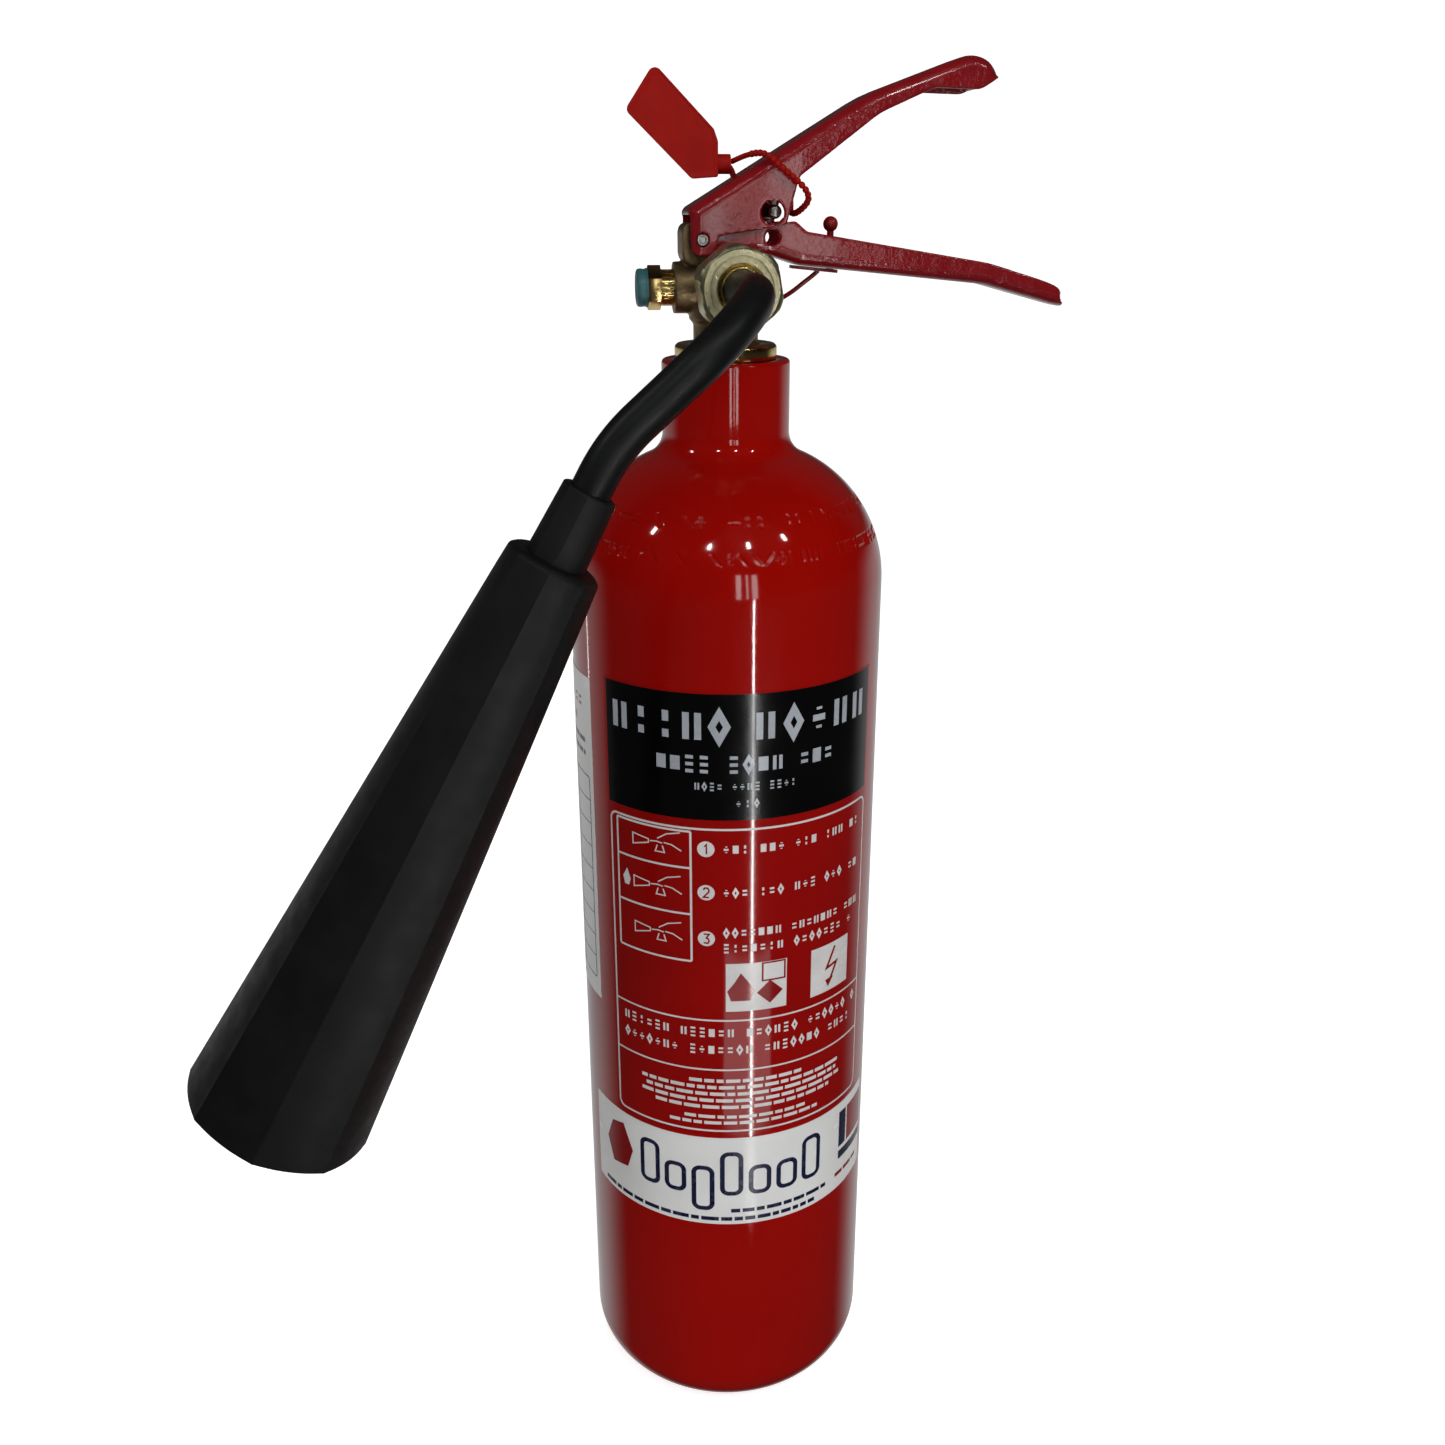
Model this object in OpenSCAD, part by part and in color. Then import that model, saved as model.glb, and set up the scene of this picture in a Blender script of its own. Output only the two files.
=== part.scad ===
// Carbon dioxide fire extinguisher with a swivelling discharge horn.
// Origin: centre of the flat base. +Z up, the handles point to +X, the valve outlet to -Y.

/* [Cylinder] */
// Outer radius of the cylinder
cylinder_r = 58.5; // [50:0.5:65]
// Wall thickness of the cylinder
cylinder_wall = 5.5; // [4:0.5:7]
// Radius of the rounded edge round the base
base_edge_r = 19; // [12:1:24]
// Height where the straight wall ends and the shoulder starts
shoulder_z = 353; // [340:1:360]
// Radius of the shoulder's arc
shoulder_r = 50; // [46:1:50]
// Outer radius of the neck
neck_r = 23; // [20:0.5:25]
// Height of the top of the neck
neck_top_z = 432.5; // [428:0.5:436]

/* [Labels] */
// Lowest edge of the front label
front_label_low = 143; // [142:1:160]
// Highest edge of the front label
front_label_high = 326; // [300:1:330]
// Lowest edge of the band label
band_label_low = 100; // [80:1:110]
// Highest edge of the band label
band_label_high = 141.5; // [130:0.5:141.5]
// Thickness of every label
label_t = 0.15; // [0.1:0.05:0.2]

/* [Valve] */
// Height of the outlet's axis, which the horn swivels round
outlet_z = 457.7; // [457:0.1:459]
// Height of the pressure relief device's axis
relief_z = 456.6; // [456:0.1:458]
// Radius of the valve's main block
block_r = 13; // [12.5:0.5:13.5]
// Radius of the outlet's threaded boss
outlet_boss_r = 10.9; // [10:0.1:11]
// Size across the flats of the swivel nut
nut_flats = 26.5; // [26:0.5:28]

/* [Handles] */
// X of the lever's pivot
pivot_x = -9.7; // [-10:0.1:-9]
// Z of the lever's pivot
pivot_z = 472.5; // [472:0.1:473]
// Half of the squeeze lever's outer width
lever_half = 14; // [13.6:0.1:15]
// Half of the carry handle's outer width
handle_half = 11.7; // [11:0.1:11.7]
// Sheet thickness of both
sheet_t = 1.9; // [1.5:0.1:1.9]
// Angle that the lever turns when it is squeezed
lever_swing = 8; // [6:1:8]
// X of the safety pin
pin_x = 15.5; // [15:0.1:16]
// Z of the safety pin
pin_z = 481.4; // [481:0.1:482]

/* [Horn] */
// Distance of the horn's plane in front of the cylinder's axis
horn_y = 92; // [92:1:100]
// Angle of the tube's straight stretch from straight down
tube_angle = 48.4; // [40:0.1:55]
// Angle of the horn from straight down
horn_angle = 28.6; // [10:0.1:35]
// Distance from the outlet's axis to the tube's lower bend
tube_reach = 61.5; // [55:0.5:70]
// Length of the cone
horn_len = 213; // [180:1:230]
// Outer radius of the cone's top
horn_top_r = 14.8; // [14:0.1:16]
// Outer radius of the cone's mouth
horn_mouth_r = 31.8; // [28:0.1:33]

/* [Hidden] */
$fn = 96;

RED = [0.72, 0.03, 0.03];
CRIMSON = [0.52, 0.02, 0.05];
SEAL_RED = [0.85, 0.12, 0.05];
BRASS = [0.72, 0.58, 0.30];
STEEL = [0.75, 0.75, 0.76];
BLACK = [0.05, 0.05, 0.05];

// running clearance of a moving shaft or pin in its hole
fit = 0.06;
lever_gap = 0.4;
shoulder_x = cylinder_r - shoulder_r;
neck_fillet_r = 9;
neck_fillet_x = neck_r + neck_fillet_r;
// height of the concave neck fillet's centre: its arc touches the shoulder's arc
neck_fillet_z = shoulder_z
    + sqrt(pow(shoulder_r + neck_fillet_r, 2) - pow(neck_fillet_x - shoulder_x, 2));
// angle of that touching point, seen from the shoulder's centre
touch_angle = atan2(neck_fillet_z - shoulder_z, neck_fillet_x - shoulder_x);
neck_bore_r = 12.5;
ring_high = neck_top_z + 5.3;
neck_ring_r = 18.2;
block_low = 446;
block_high = 467.3;
chamber_r = 6.5;
bush_low = 402;
bush_high = 424;
stem_r = 2.75;
stem_top = 486.2;
seat_z = 445.7;
boss_front = -28.5;
nut_front = -40;
nut_back = -22;
// radius that the nut's corners are turned down to
nut_corner_r = 14.3;
nut_chamfer = 1.2;
bend_r = 30;
lower_bend_r = 60;
tube_r = 6.35;
tube_bore_r = 4.8;
// the nozzle's plug fits between the flats of the tube's 24-sided bore
TUBE_SIDES = 24;
nozzle_plug_r = tube_bore_r * cos(180 / TUBE_SIDES) - 0.02;
ferrule_r = 7.2;
lower_bend_tangent = lower_bend_r * tan((tube_angle - horn_angle) / 2);
// distances along the horn's axis from the lower bend's corner
collar_top = 15.1;
tube_end = 33;
cone_top = 38.4;
cone_wall = 2.2;
collar_spigot_r = 9;
pivot_pin_r = 2;
pin_r = 2.3;
pin_tip_y = -11;
loop_start_y = 16.5;
loop_end_y = 55;
loop_half = 7.5;
loop_wire_r = 1.4;
tether_r = 0.8;
strap_r = 1.0;
anchor_x = 37;
web_slope = 5.7;

// squeeze lever, side view: each corner is [x, z, radius]
LEVER_HEEL = [-14.2, 482.4, 3];
LEVER_BEND = [47, 518.6, 50];
LEVER_TIP = [84.2, 532, 11.5];
LEVER_END = [93.2, 524.6, 1];
LEVER_SIDE = [
    LEVER_HEEL, LEVER_BEND, LEVER_TIP, LEVER_END,
    [85, 519.8, 6], [69, 520.2, 6], [50.5, 512.3, 25], [23.3, 492.4, 2], [19, 477.2, 1.5],
    [-4.5, 473.6, 1], [-4.5, 467.1, 4.7], [-14.2, 467.1, 4.8]
];
// squeeze lever from above, one half: each corner is [x, y, radius]
LEVER_PLAN = [[-20, lever_half, 0], [24, lever_half, 20], [60, lever_half - 1.5, 20],
    [94.5, lever_half - 2.5, 8]];
// carry handle, side view: its lower edge from the valve to the tip, then its upper edge
HANDLE_LOW = [[-13.8, 467.3, 4.2], [14.2, 467.3, 10], [24.4, 464, 6], [91, 457.3, 30],
    [122.9, 448.8, 1]];
HANDLE_HIGH = [[121.2, 456.2, 6], [91.7, 464.6, 30], [26.6, 475.1, 1.5], [22.6, 478.5, 1.5],
    [18.4, 478, 0.5], [18.4, 486.6, 4.5], [8.5, 486.6, 4.5], [2, 478, 3], [-13.8, 478, 4.2]];
HANDLE_PLAN = [[-20, handle_half, 0], [60, handle_half, 30], [124, handle_half - 1.4, 8]];
// outline of the seal's tag, each corner [x, z, radius]
TAG_SIDE = [[-24.4, 527.2, 2.5], [-34.2, 513, 2.2], [-12.2, 491.8, 2], [-3.2, 492.4, 0.8],
    [-3.2, 503.6, 4], [-4.6, 507.4, 2]];

// route of the cord that keeps the safety pin with the handle
TETHER = [[33, 0, 462], [31, 0.4, 460.2], [28, 1, 457.9], [25, 2.2, 455.4], [22, 4, 453.2],
    [19.4, 6.6, 451.6], [17.4, 10, 450.8], [16, 14, 451], [15, 18, 452.6], [14.4, 22, 455.4],
    [14.2, 25.4, 458.8], [14.4, 28, 462.4], [14.9, 29.6, 466.4], [15.5, 30, 470.1]];
// route of the seal's strap: over the lever's near side, through the pin's loop and back
STRAP = [[2, -1, 497.4], [6.2, -5.6, 499.2], [10, -11.4, 499.8], [13, -15.4, 498.4], [17, -16.6, 495],
    [21.4, -16.6, 491.6], [25, -15.8, 488.2], [26.4, -13.2, 485.4], [25.6, -9.4, 483],
    [23.8, -4, 481], [23, 1, 481.4], [23.8, 6, 483.6], [24.4, 11, 485.8], [23.6, 20, 486],
    [21.4, 32, 485.4], [19.2, 45.6, 484.2], [15.5, 49, 483.2], [11.4, 47, 483.8],
    [9, 38, 486], [7.4, 28, 489.4], [5.6, 20, 493.2], [3.4, 13, 495.6], [0.8, 6, 496.6],
    [-0.8, 3.4, 496.6]];

// ---- helpers ----

function unit(v) = v / norm(v);

// corner b of a path a, b, c, rounded to radius r, as points on its arc
function round_corner(a, b, c, r) =
    let (u = unit(a - b), v = unit(c - b), half = acos(u * v) / 2,
        start = b + u * r / tan(half), end = b + v * r / tan(half),
        middle = b + unit(u + v) * r / sin(half),
        from = atan2(start[1] - middle[1], start[0] - middle[0]),
        raw = atan2(end[1] - middle[1], end[0] - middle[0]) - from,
        turn = raw > 180 ? raw - 360 : raw < -180 ? raw + 360 : raw,
        steps = max(2, ceil(abs(turn) / 12)))
    [for (i = [0 : steps]) middle + r * [cos(from + turn * i / steps), sin(from + turn * i / steps)]];

function flat(p) = [p[0], p[1]];

// outline through corners [x, y, radius]
function rounded(corners) =
    let (n = len(corners))
    [for (i = [0 : n - 1])
        let (a = corners[(i + n - 1) % n], b = corners[i], c = corners[(i + 1) % n])
        each b[2] == 0 ? [flat(b)] : round_corner(flat(a), flat(b), flat(c), b[2])];

// corner b of a clockwise path a, b, c, moved inwards by t, with its radius smaller by t
function inset_corner(a, b, c, t) =
    let (u = unit(flat(b) - flat(a)), v = unit(flat(c) - flat(b)),
        m = [u[1], -u[0]], n = [v[1], -v[0]], q = flat(b) + (m + n) * t / (1 + m * n))
    [q[0], q[1], max(b[2] - t, 0.5)];

// plan outline from the corners of one half, inset by t
function both_sides(half, t) =
    let (side = [for (c = half) [c[0] - (c == half[len(half) - 1] ? t : 0), c[1] - t, max(c[2] - t, 0)]])
    rounded(concat(side, [for (i = [len(side) - 1 : -1 : 0]) [side[i][0], -side[i][1], side[i][2]]]));

// prism with an XZ outline, from y0 to y1
module prism_y(outline, y0, y1) {
    translate([0, y1, 0]) rotate([90, 0, 0]) linear_extrude(y1 - y0) polygon(outline);
}

module rod_x(x0, x1, r, z) {
    translate([x0, 0, z]) rotate([0, 90, 0]) cylinder(h = x1 - x0, r = r);
}

module rod_y(x, z, y0, y1, r) {
    translate([x, y1, z]) rotate([90, 0, 0]) cylinder(h = y1 - y0, r = r);
}

module rod_z(x, y, z0, z1, r) {
    translate([x, y, z0]) cylinder(h = z1 - z0, r = r);
}

module ring(r, section_r) {
    rotate_extrude() translate([r, 0]) circle(section_r, $fn = 24);
}

// frame of the tube's straight stretch: -Z runs along it
module at_tube() {
    translate([0, -horn_y, outlet_z]) rotate([0, tube_angle, 0]) children();
}

// frame of the horn: -Z runs along its axis from the lower bend's corner
module at_horn() {
    at_tube() translate([0, 0, -tube_reach]) rotate([0, horn_angle - tube_angle, 0]) children();
}

// point t of the curve through b and c, with neighbours a and d
function curve_point(a, b, c, d, t) =
    0.5 * (2 * b + (c - a) * t + (2 * a - 5 * b + 4 * c - d) * t * t
        + (3 * b - a - 3 * c + d) * t * t * t);

// smooth path through the points, with steps rings between each two
function smooth(p, steps) =
    let (n = len(p) - 1)
    concat([for (i = [0 : n - 1], s = [0 : steps - 1])
        curve_point(p[max(i - 1, 0)], p[i], p[i + 1], p[min(i + 2, n)], s / steps)], [p[n]]);

// rings of points round a path; side is a direction that the path never runs along
function ring_points(path, r, sides, side) =
    let (n = len(path) - 1)
    [for (i = [0 : n])
        let (ahead = unit(path[min(i + 1, n)] - path[max(i - 1, 0)]),
            across = unit(cross(ahead, side)), up = cross(across, ahead))
        for (k = [0 : sides - 1])
            path[i] + r * (across * cos(360 * k / sides) + up * sin(360 * k / sides))];

// faces of the wall through n + 1 rings, whose points start at number first
function wall_faces(n, sides, first) =
    [for (i = [0 : n - 1], k = [0 : sides - 1])
        let (next = (k + 1) % sides, low = first + i * sides)
        [low + k, low + next, low + sides + next, low + sides + k]];

// solid round bar along a path
module sweep(path, r, sides, side) {
    n = len(path) - 1;
    polyhedron(ring_points(path, r, sides, side), concat(wall_faces(n, sides, 0),
        [[for (k = [sides - 1 : -1 : 0]) k], [for (k = [0 : sides - 1]) n * sides + k]]),
        convexity = 8);
}

// open pipe along a path
module sweep_pipe(path, r, bore_r, sides, side) {
    n = len(path) - 1;
    inner = (n + 1) * sides;
    flip = [for (f = wall_faces(n, sides, inner)) [f[3], f[2], f[1], f[0]]];
    ends = [for (k = [0 : sides - 1])
        let (next = (k + 1) % sides)
        each [[inner + k, inner + next, next, k],
            [n * sides + k, n * sides + next, inner + n * sides + next, inner + n * sides + k]]];
    polyhedron(concat(ring_points(path, r, sides, side), ring_points(path, bore_r, sides, side)),
        concat(wall_faces(n, sides, 0), flip, ends), convexity = 8);
}

// thin skin on the cylinder from angle a0 to a1, measured from -Y towards +X
module label(z0, z1, a0, a1) {
    rotate([0, 0, a0 - 90]) rotate_extrude(angle = a1 - a0)
        translate([cylinder_r, z0]) square([label_t, z1 - z0]);
}

// ---- cylinder ----

function arc(x, z, r, from, to, steps) =
    [for (i = [0 : steps]) [x + r * cos(from + (to - from) * i / steps),
        z + r * sin(from + (to - from) * i / steps)]];

module cylinder_outer() {
    rotate_extrude($fn = 128) polygon(concat([[0, 0]],
        arc(cylinder_r - base_edge_r, base_edge_r, base_edge_r, -90, 0, 10),
        arc(shoulder_x, shoulder_z, shoulder_r, 0, touch_angle, 16),
        arc(neck_fillet_x, neck_fillet_z, neck_fillet_r, touch_angle + 180, 180, 6),
        [[neck_r, neck_top_z - 1.5], [neck_r - 1.5, neck_top_z], [0, neck_top_z]]));
}

module cylinder_inner() {
    edge = base_edge_r - cylinder_wall;
    rotate_extrude($fn = 96) polygon(concat([[0, cylinder_wall + 2]],
        arc(cylinder_r - base_edge_r, cylinder_wall + 2 + edge, edge, -90, 0, 8),
        arc(shoulder_x, shoulder_z, shoulder_r - cylinder_wall, 0, touch_angle - 4, 12),
        [[neck_bore_r, neck_fillet_z - 4], [0, neck_fillet_z - 4]]));
}

module cylinder_shell() {
    color(RED) difference() {
        cylinder_outer();
        cylinder_inner();
        rod_z(0, 0, neck_fillet_z - 6, neck_top_z + 1, neck_bore_r);
        translate([0, 0, neck_top_z - 2.6]) cylinder(h = 2.7, r1 = neck_bore_r, r2 = neck_bore_r + 2.7);
    }
}

module front_label() { color(RED) label(front_label_low, front_label_high, -56, 56); }

module band_label() { color("white") label(band_label_low, band_label_high, -72.5, 65); }

module service_label() { color("white") label(188, 322, -150, -66); }

// ---- valve ----

module neck_ring() {
    color([0.85, 0.68, 0.25]) difference() {
        union() {
            rod_z(0, 0, neck_top_z, ring_high - 1, neck_ring_r);
            translate([0, 0, ring_high - 1]) cylinder(h = 1, r1 = neck_ring_r, r2 = neck_ring_r - 1);
        }
        rod_z(0, 0, neck_top_z - 1, ring_high + 1, 12.4);
    }
}

module neck_oring() { color(BLACK) translate([0, 0, neck_top_z - 0.84]) ring(13.2, 0.75); }

module valve_body() {
    color(BRASS) difference() {
        union() {
            rod_z(0, 0, bush_low, ring_high, 12.4);
            rod_z(0, 0, ring_high, block_low, 11.5);
            translate([0, 0, block_low - 1.5]) cylinder(h = 1.5, r1 = 11.5, r2 = block_r);
            rod_z(0, 0, block_low, block_high, block_r);
            rod_z(0, 0, block_high, 472, 7);
            // outlet boss
            rod_y(0, outlet_z, -18, 0, 9.5);
            rod_y(0, outlet_z, boss_front, -16.5, outlet_boss_r);
            // relief boss
            rod_x(-18.5, 0, 8.7, relief_z);
            // lug that holds the pivot pin
            prism_y(rounded([[-16, 478, 3], [-6.8, 478, 2], [-6.8, 464, 0], [-16, 464, 4]]), -8, 8);
        }
        // spring chamber, passage past the stem, bonnet
        rod_z(0, 0, bush_low - 1, 446, chamber_r);
        rod_z(0, 0, 445, 464, 3.6);
        rod_z(0, 0, 463, 473, 4.6);
        // outlet
        rod_y(0, outlet_z, boss_front - 1, 0, 5.5);
        // relief passage from the pressure side
        rod_x(-19.5, -11, 5.6, relief_z);
        translate([-11.5, 0, relief_z]) rotate([0, 145, 0]) cylinder(h = 17, r = 1.4, $fn = 24);
        rod_y(pivot_x, pivot_z, -9, 9, pivot_pin_r);
    }
}

module dip_tube_bush() {
    color(BRASS) difference() {
        rod_z(0, 0, bush_low, bush_high, chamber_r);
        rod_z(0, 0, bush_low - 1, bush_low + 12, 5);
        rod_z(0, 0, bush_low, bush_high + 1, 3.6);
    }
}

module dip_tube() {
    color([0.8, 0.8, 0.82]) difference() {
        rod_z(0, 0, 14, bush_low + 12, 5);
        rod_z(0, 0, 13, bush_low + 13, 3.8);
        // slanted lower end
        translate([0, -10, 14]) rotate([0, 30, 0]) translate([-20, 0, -20]) cube([40, 20, 20]);
    }
}

SPRING_TURNS = 5;
module valve_spring() {
    low = bush_high + 0.7;
    high = 440.2;
    steps = SPRING_TURNS * 12;
    color(STEEL) sweep([for (i = [0 : steps])
        [4.9 * cos(i * 30), 4.9 * sin(i * 30), low + (high - low) * i / steps]], 0.6, 8, [0, 0, 1]);
}

module valve_stem() {
    color(STEEL) {
        rod_z(0, 0, 464, stem_top - 1, stem_r);
        translate([0, 0, stem_top - 1]) cylinder(h = 1, r1 = stem_r, r2 = stem_r - 0.8);
        rod_z(0, 0, 441, 464, 2.2);
        rod_z(0, 0, 441, 443.5, 5.4);
    }
}

module stem_seal() {
    color(BLACK) difference() {
        rod_z(0, 0, 443.5, seat_z, 5.2);
        rod_z(0, 0, 443, seat_z + 1, 2.2);
    }
}

module stem_oring() { color(BLACK) translate([0, 0, 465.5]) ring(3.7, 0.85); }

module gland_nut() {
    color(BRASS) difference() {
        union() {
            rod_z(0, 0, 467.3, 472, 4.6);
            translate([0, 0, 472]) cylinder(h = 4.6, r = 6.3, $fn = 6);
        }
        rod_z(0, 0, 467, 478, stem_r + fit);
    }
}

// ---- pressure relief device ----

module burst_disc() { color(STEEL) rod_x(-11.4, -11, 5.5, relief_z); }

module relief_washer() {
    color("orange") difference() {
        rod_x(-12.4, -11.4, 5.5, relief_z);
        rod_x(-12.5, -11.3, 3.2, relief_z);
    }
}

RELIEF_GROOVES = 20;
module relief_plug() {
    color([0.88, 0.72, 0.3]) difference() {
        union() {
            rod_x(-18.5, -12.4, 5.55, relief_z);
            rod_x(-23, -18.5, 6.1, relief_z);
            translate([-27.5, 0, relief_z]) rotate([0, 90, 0]) rotate([0, 0, 5])
                cylinder(h = 4.5, r = 7.6, $fn = 6);
        }
        rod_x(-26, -12, 2.6, relief_z);
        for (i = [0 : RELIEF_GROOVES - 1])
            translate([0, 0, relief_z]) rotate([360 / RELIEF_GROOVES * i, 0, 0])
                translate([-22.6, -0.35, 5.6]) cube([3.7, 0.7, 1]);
    }
}

module relief_cap() {
    color([0.15, 0.5, 0.6]) {
        rod_x(-30.6, -27.5, 6.6, relief_z);
        translate([-31.5, 0, relief_z]) rotate([0, 90, 0]) cylinder(h = 0.9, r1 = 5.7, r2 = 6.6);
    }
}

// ---- swivel and discharge horn ----

module swivel_nut() {
    corner_r = nut_flats / 2 / cos(30);
    color([0.82, 0.8, 0.62]) translate([0, 0, outlet_z]) rotate([90, 0, 0]) difference() {
        intersection() {
            translate([0, 0, -nut_back]) rotate([0, 0, -20])
                cylinder(h = nut_back - nut_front, r = corner_r, $fn = 6);
            rotate_extrude() polygon([[0, -nut_back], [nut_corner_r - nut_chamfer, -nut_back],
                [nut_corner_r, nut_chamfer - nut_back], [nut_corner_r, -nut_front - nut_chamfer],
                [nut_corner_r - nut_chamfer, -nut_front], [0, -nut_front]]);
        }
        translate([0, 0, -nut_back - 1]) cylinder(h = 15, r = outlet_boss_r + 0.05);
        translate([0, 0, -nut_back]) cylinder(h = 30, r = 7.9);
    }
}

module swivel_spigot() {
    color(BRASS) difference() {
        union() {
            rod_y(0, outlet_z, nut_front - 1.6, -30, ferrule_r);
            rod_y(0, outlet_z, nut_front + 4.3, -29, 9.8);
            rod_y(0, outlet_z, -29, -18, 5.5 - fit);
        }
        rod_y(0, outlet_z, nut_front - 2, -17, 3.6);
        rod_y(0, outlet_z, nut_front - 2, -33, tube_r + 0.02);
        for (y = [-26, -22])
            rod_y_groove(y);
    }
}

module rod_y_groove(y) {
    difference() {
        rod_y(0, outlet_z, y - 1, y + 1, 6);
        rod_y(0, outlet_z, y - 2, y + 2, 4.1);
    }
}

module spigot_orings() {
    color(BLACK) for (y = [-26, -22])
        translate([0, y, outlet_z]) rotate([90, 0, 0]) ring(4.78, 0.65);
}

// directions of the tube's straight stretch and of the horn's axis
function downward(angle) = [-sin(angle), 0, -cos(angle)];

// centreline of the bent tube, from the nut to the jet nozzle
function tube_path() =
    let (first = downward(tube_angle), last = downward(horn_angle), turn = tube_angle - horn_angle,
        start = [0, bend_r - horn_y, outlet_z], corner = [0, -horn_y, outlet_z] + tube_reach * first,
        aside = unit(last - first * (first * last)))
    concat([[0, -33, outlet_z]],
        [for (a = [0 : 10 : 90]) start + bend_r * (1 - cos(a)) * first + bend_r * sin(a) * [0, -1, 0]],
        [for (a = [0 : turn / 4 : turn]) corner - lower_bend_tangent * first
            + lower_bend_r * (sin(a) * first + (1 - cos(a)) * aside)],
        [corner + tube_end * last]);

module discharge_tube() {
    color(BLACK) sweep_pipe(tube_path(), tube_r, tube_bore_r, TUBE_SIDES,
        [-cos(tube_angle), 0, sin(tube_angle)]);
}

module jet_nozzle() {
    color(BRASS) at_horn() difference() {
        union() {
            translate([0, 0, -tube_end]) cylinder(h = 8, r = nozzle_plug_r);
            translate([0, 0, -tube_end - 3]) cylinder(h = 3, r = tube_r);
        }
        translate([0, 0, -tube_end - 4]) cylinder(h = 14, r = 1.6);
    }
}

module horn_collar() {
    color(BLACK) at_horn() difference() {
        union() {
            translate([0, 0, -cone_top]) cylinder(h = cone_top - collar_top, r1 = 9.6, r2 = 8.6);
            translate([0, 0, -cone_top - 6]) cylinder(h = 6, r = collar_spigot_r);
        }
        translate([0, 0, -tube_end - 3]) cylinder(h = 30, r = tube_r + 0.02);
        translate([0, 0, -cone_top - 7]) cylinder(h = 10, r = 5.6);
    }
}

module horn() {
    color(BLACK) at_horn() translate([0, 0, -cone_top]) mirror([0, 0, 1]) rotate_extrude()
        polygon(concat([[collar_spigot_r, 0], [horn_top_r - 2.6, 0]],
            arc(horn_top_r - 2.6, 2.6, 2.6, -60, 0, 4),
            [[horn_mouth_r, horn_len], [horn_mouth_r - cone_wall, horn_len],
            [horn_top_r - cone_wall, 6], [collar_spigot_r, 3]]));
}

// ---- handles and lever ----

// space between the carry handle's cheeks, above its web
module handle_inside() {
    prism_y(rounded(concat([[-40, HANDLE_LOW[0][1] + sheet_t, 0]],
        [for (i = [1 : 3]) [HANDLE_LOW[i][0], HANDLE_LOW[i][1] + sheet_t, HANDLE_LOW[i][2]]],
        [[120.6, 449.6 + sheet_t, 1], [119, 500, 0], [-40, 500, 0]])), -20, 20);
}

module carry_handle() {
    color(CRIMSON) difference() {
        intersection() {
            prism_y(rounded(concat(HANDLE_LOW, HANDLE_HIGH)), -20, 20);
            linear_extrude(600) polygon(both_sides(HANDLE_PLAN, 0));
        }
        intersection() {
            handle_inside();
            linear_extrude(600) polygon(both_sides(HANDLE_PLAN, sheet_t));
        }
        // room in the web for the lug and the bonnet
        translate([-20, -8.2, 460]) cube([20, 16.4, 20]);
        rod_z(0, 0, 460, 475, 8.2);
        rod_y(pivot_x, pivot_z, -20, 20, pivot_pin_r);
        rod_y(pin_x, pin_z, 0, 20, pin_r + fit);
        rod_y(14.6, pin_z, -20, 0, 3.9);
        rod_y(14.6, 473.1, -20, 20, 2.5);
        rod_z(anchor_x, 0, 455, 475, 1.6);
    }
}

module pivot_pin() { color(STEEL) rod_y(pivot_x, pivot_z, -14.7, 14.7, pivot_pin_r); }

module lever_inside() {
    start = [-40, LEVER_HEEL[1] - (LEVER_HEEL[0] + 40) * (LEVER_BEND[1] - LEVER_HEEL[1])
        / (LEVER_BEND[0] - LEVER_HEEL[0]), 0];
    far = inset_corner(start, LEVER_BEND, LEVER_TIP, sheet_t);
    tip = inset_corner(LEVER_BEND, LEVER_TIP, LEVER_END, sheet_t);
    slope = (LEVER_BEND[1] - start[1]) / (LEVER_BEND[0] - start[0]);
    prism_y(rounded([[-40, far[1] - (far[0] + 40) * slope, 0], far, tip,
        [LEVER_END[0] - sheet_t * 1.1, 500, 0], [89, 400, 0], [-40, 400, 0]]), -20, 20);
}

module squeeze_lever() {
    color(CRIMSON) difference() {
        intersection() {
            prism_y(rounded(LEVER_SIDE), -20, 20);
            linear_extrude(600) polygon(both_sides(LEVER_PLAN, 0));
        }
        intersection() {
            lever_inside();
            linear_extrude(600) polygon(both_sides(LEVER_PLAN, sheet_t));
        }
        rod_y(pivot_x, pivot_z, -20, 20, pivot_pin_r + fit);
        rod_y(14.2, 481, -20, 0, 4);
        // slot in the far cheek, which clears the pin while the lever turns
        for (angle = [0 : lever_swing / 4 : lever_swing])
            translate([pivot_x, 0, pivot_z]) rotate([0, -angle, 0])
                rod_y(pin_x - pivot_x, pin_z - pivot_z, 5, 20, pin_r + lever_gap);
    }
}

// ---- safety pin ----

module safety_pin() {
    color(STEEL) {
        rod_y(pin_x, pin_z, pin_tip_y, loop_start_y + 1, pin_r);
        translate([pin_x, pin_tip_y, pin_z]) rotate([90, 0, 0]) cylinder(h = 0.6, r1 = pin_r, r2 = pin_r - 0.6);
    }
}

module pin_loop() {
    a = loop_start_y + loop_half + loop_wire_r;
    b = loop_end_y - loop_half - loop_wire_r;
    color(STEEL) translate([pin_x, 0, pin_z]) rotate([0, 90, 0]) {
        for (s = [-1, 1])
            translate([s * loop_half, a, 0]) rotate([-90, 0, 0]) cylinder(h = b - a, r = loop_wire_r, $fn = 32);
        translate([0, b, 0]) rotate_extrude(angle = 180) translate([loop_half, 0]) circle(loop_wire_r, $fn = 32);
        translate([0, a, 0]) mirror([0, 1, 0]) rotate_extrude(angle = 180)
            translate([loop_half, 0]) circle(loop_wire_r, $fn = 32);
    }
}

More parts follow.
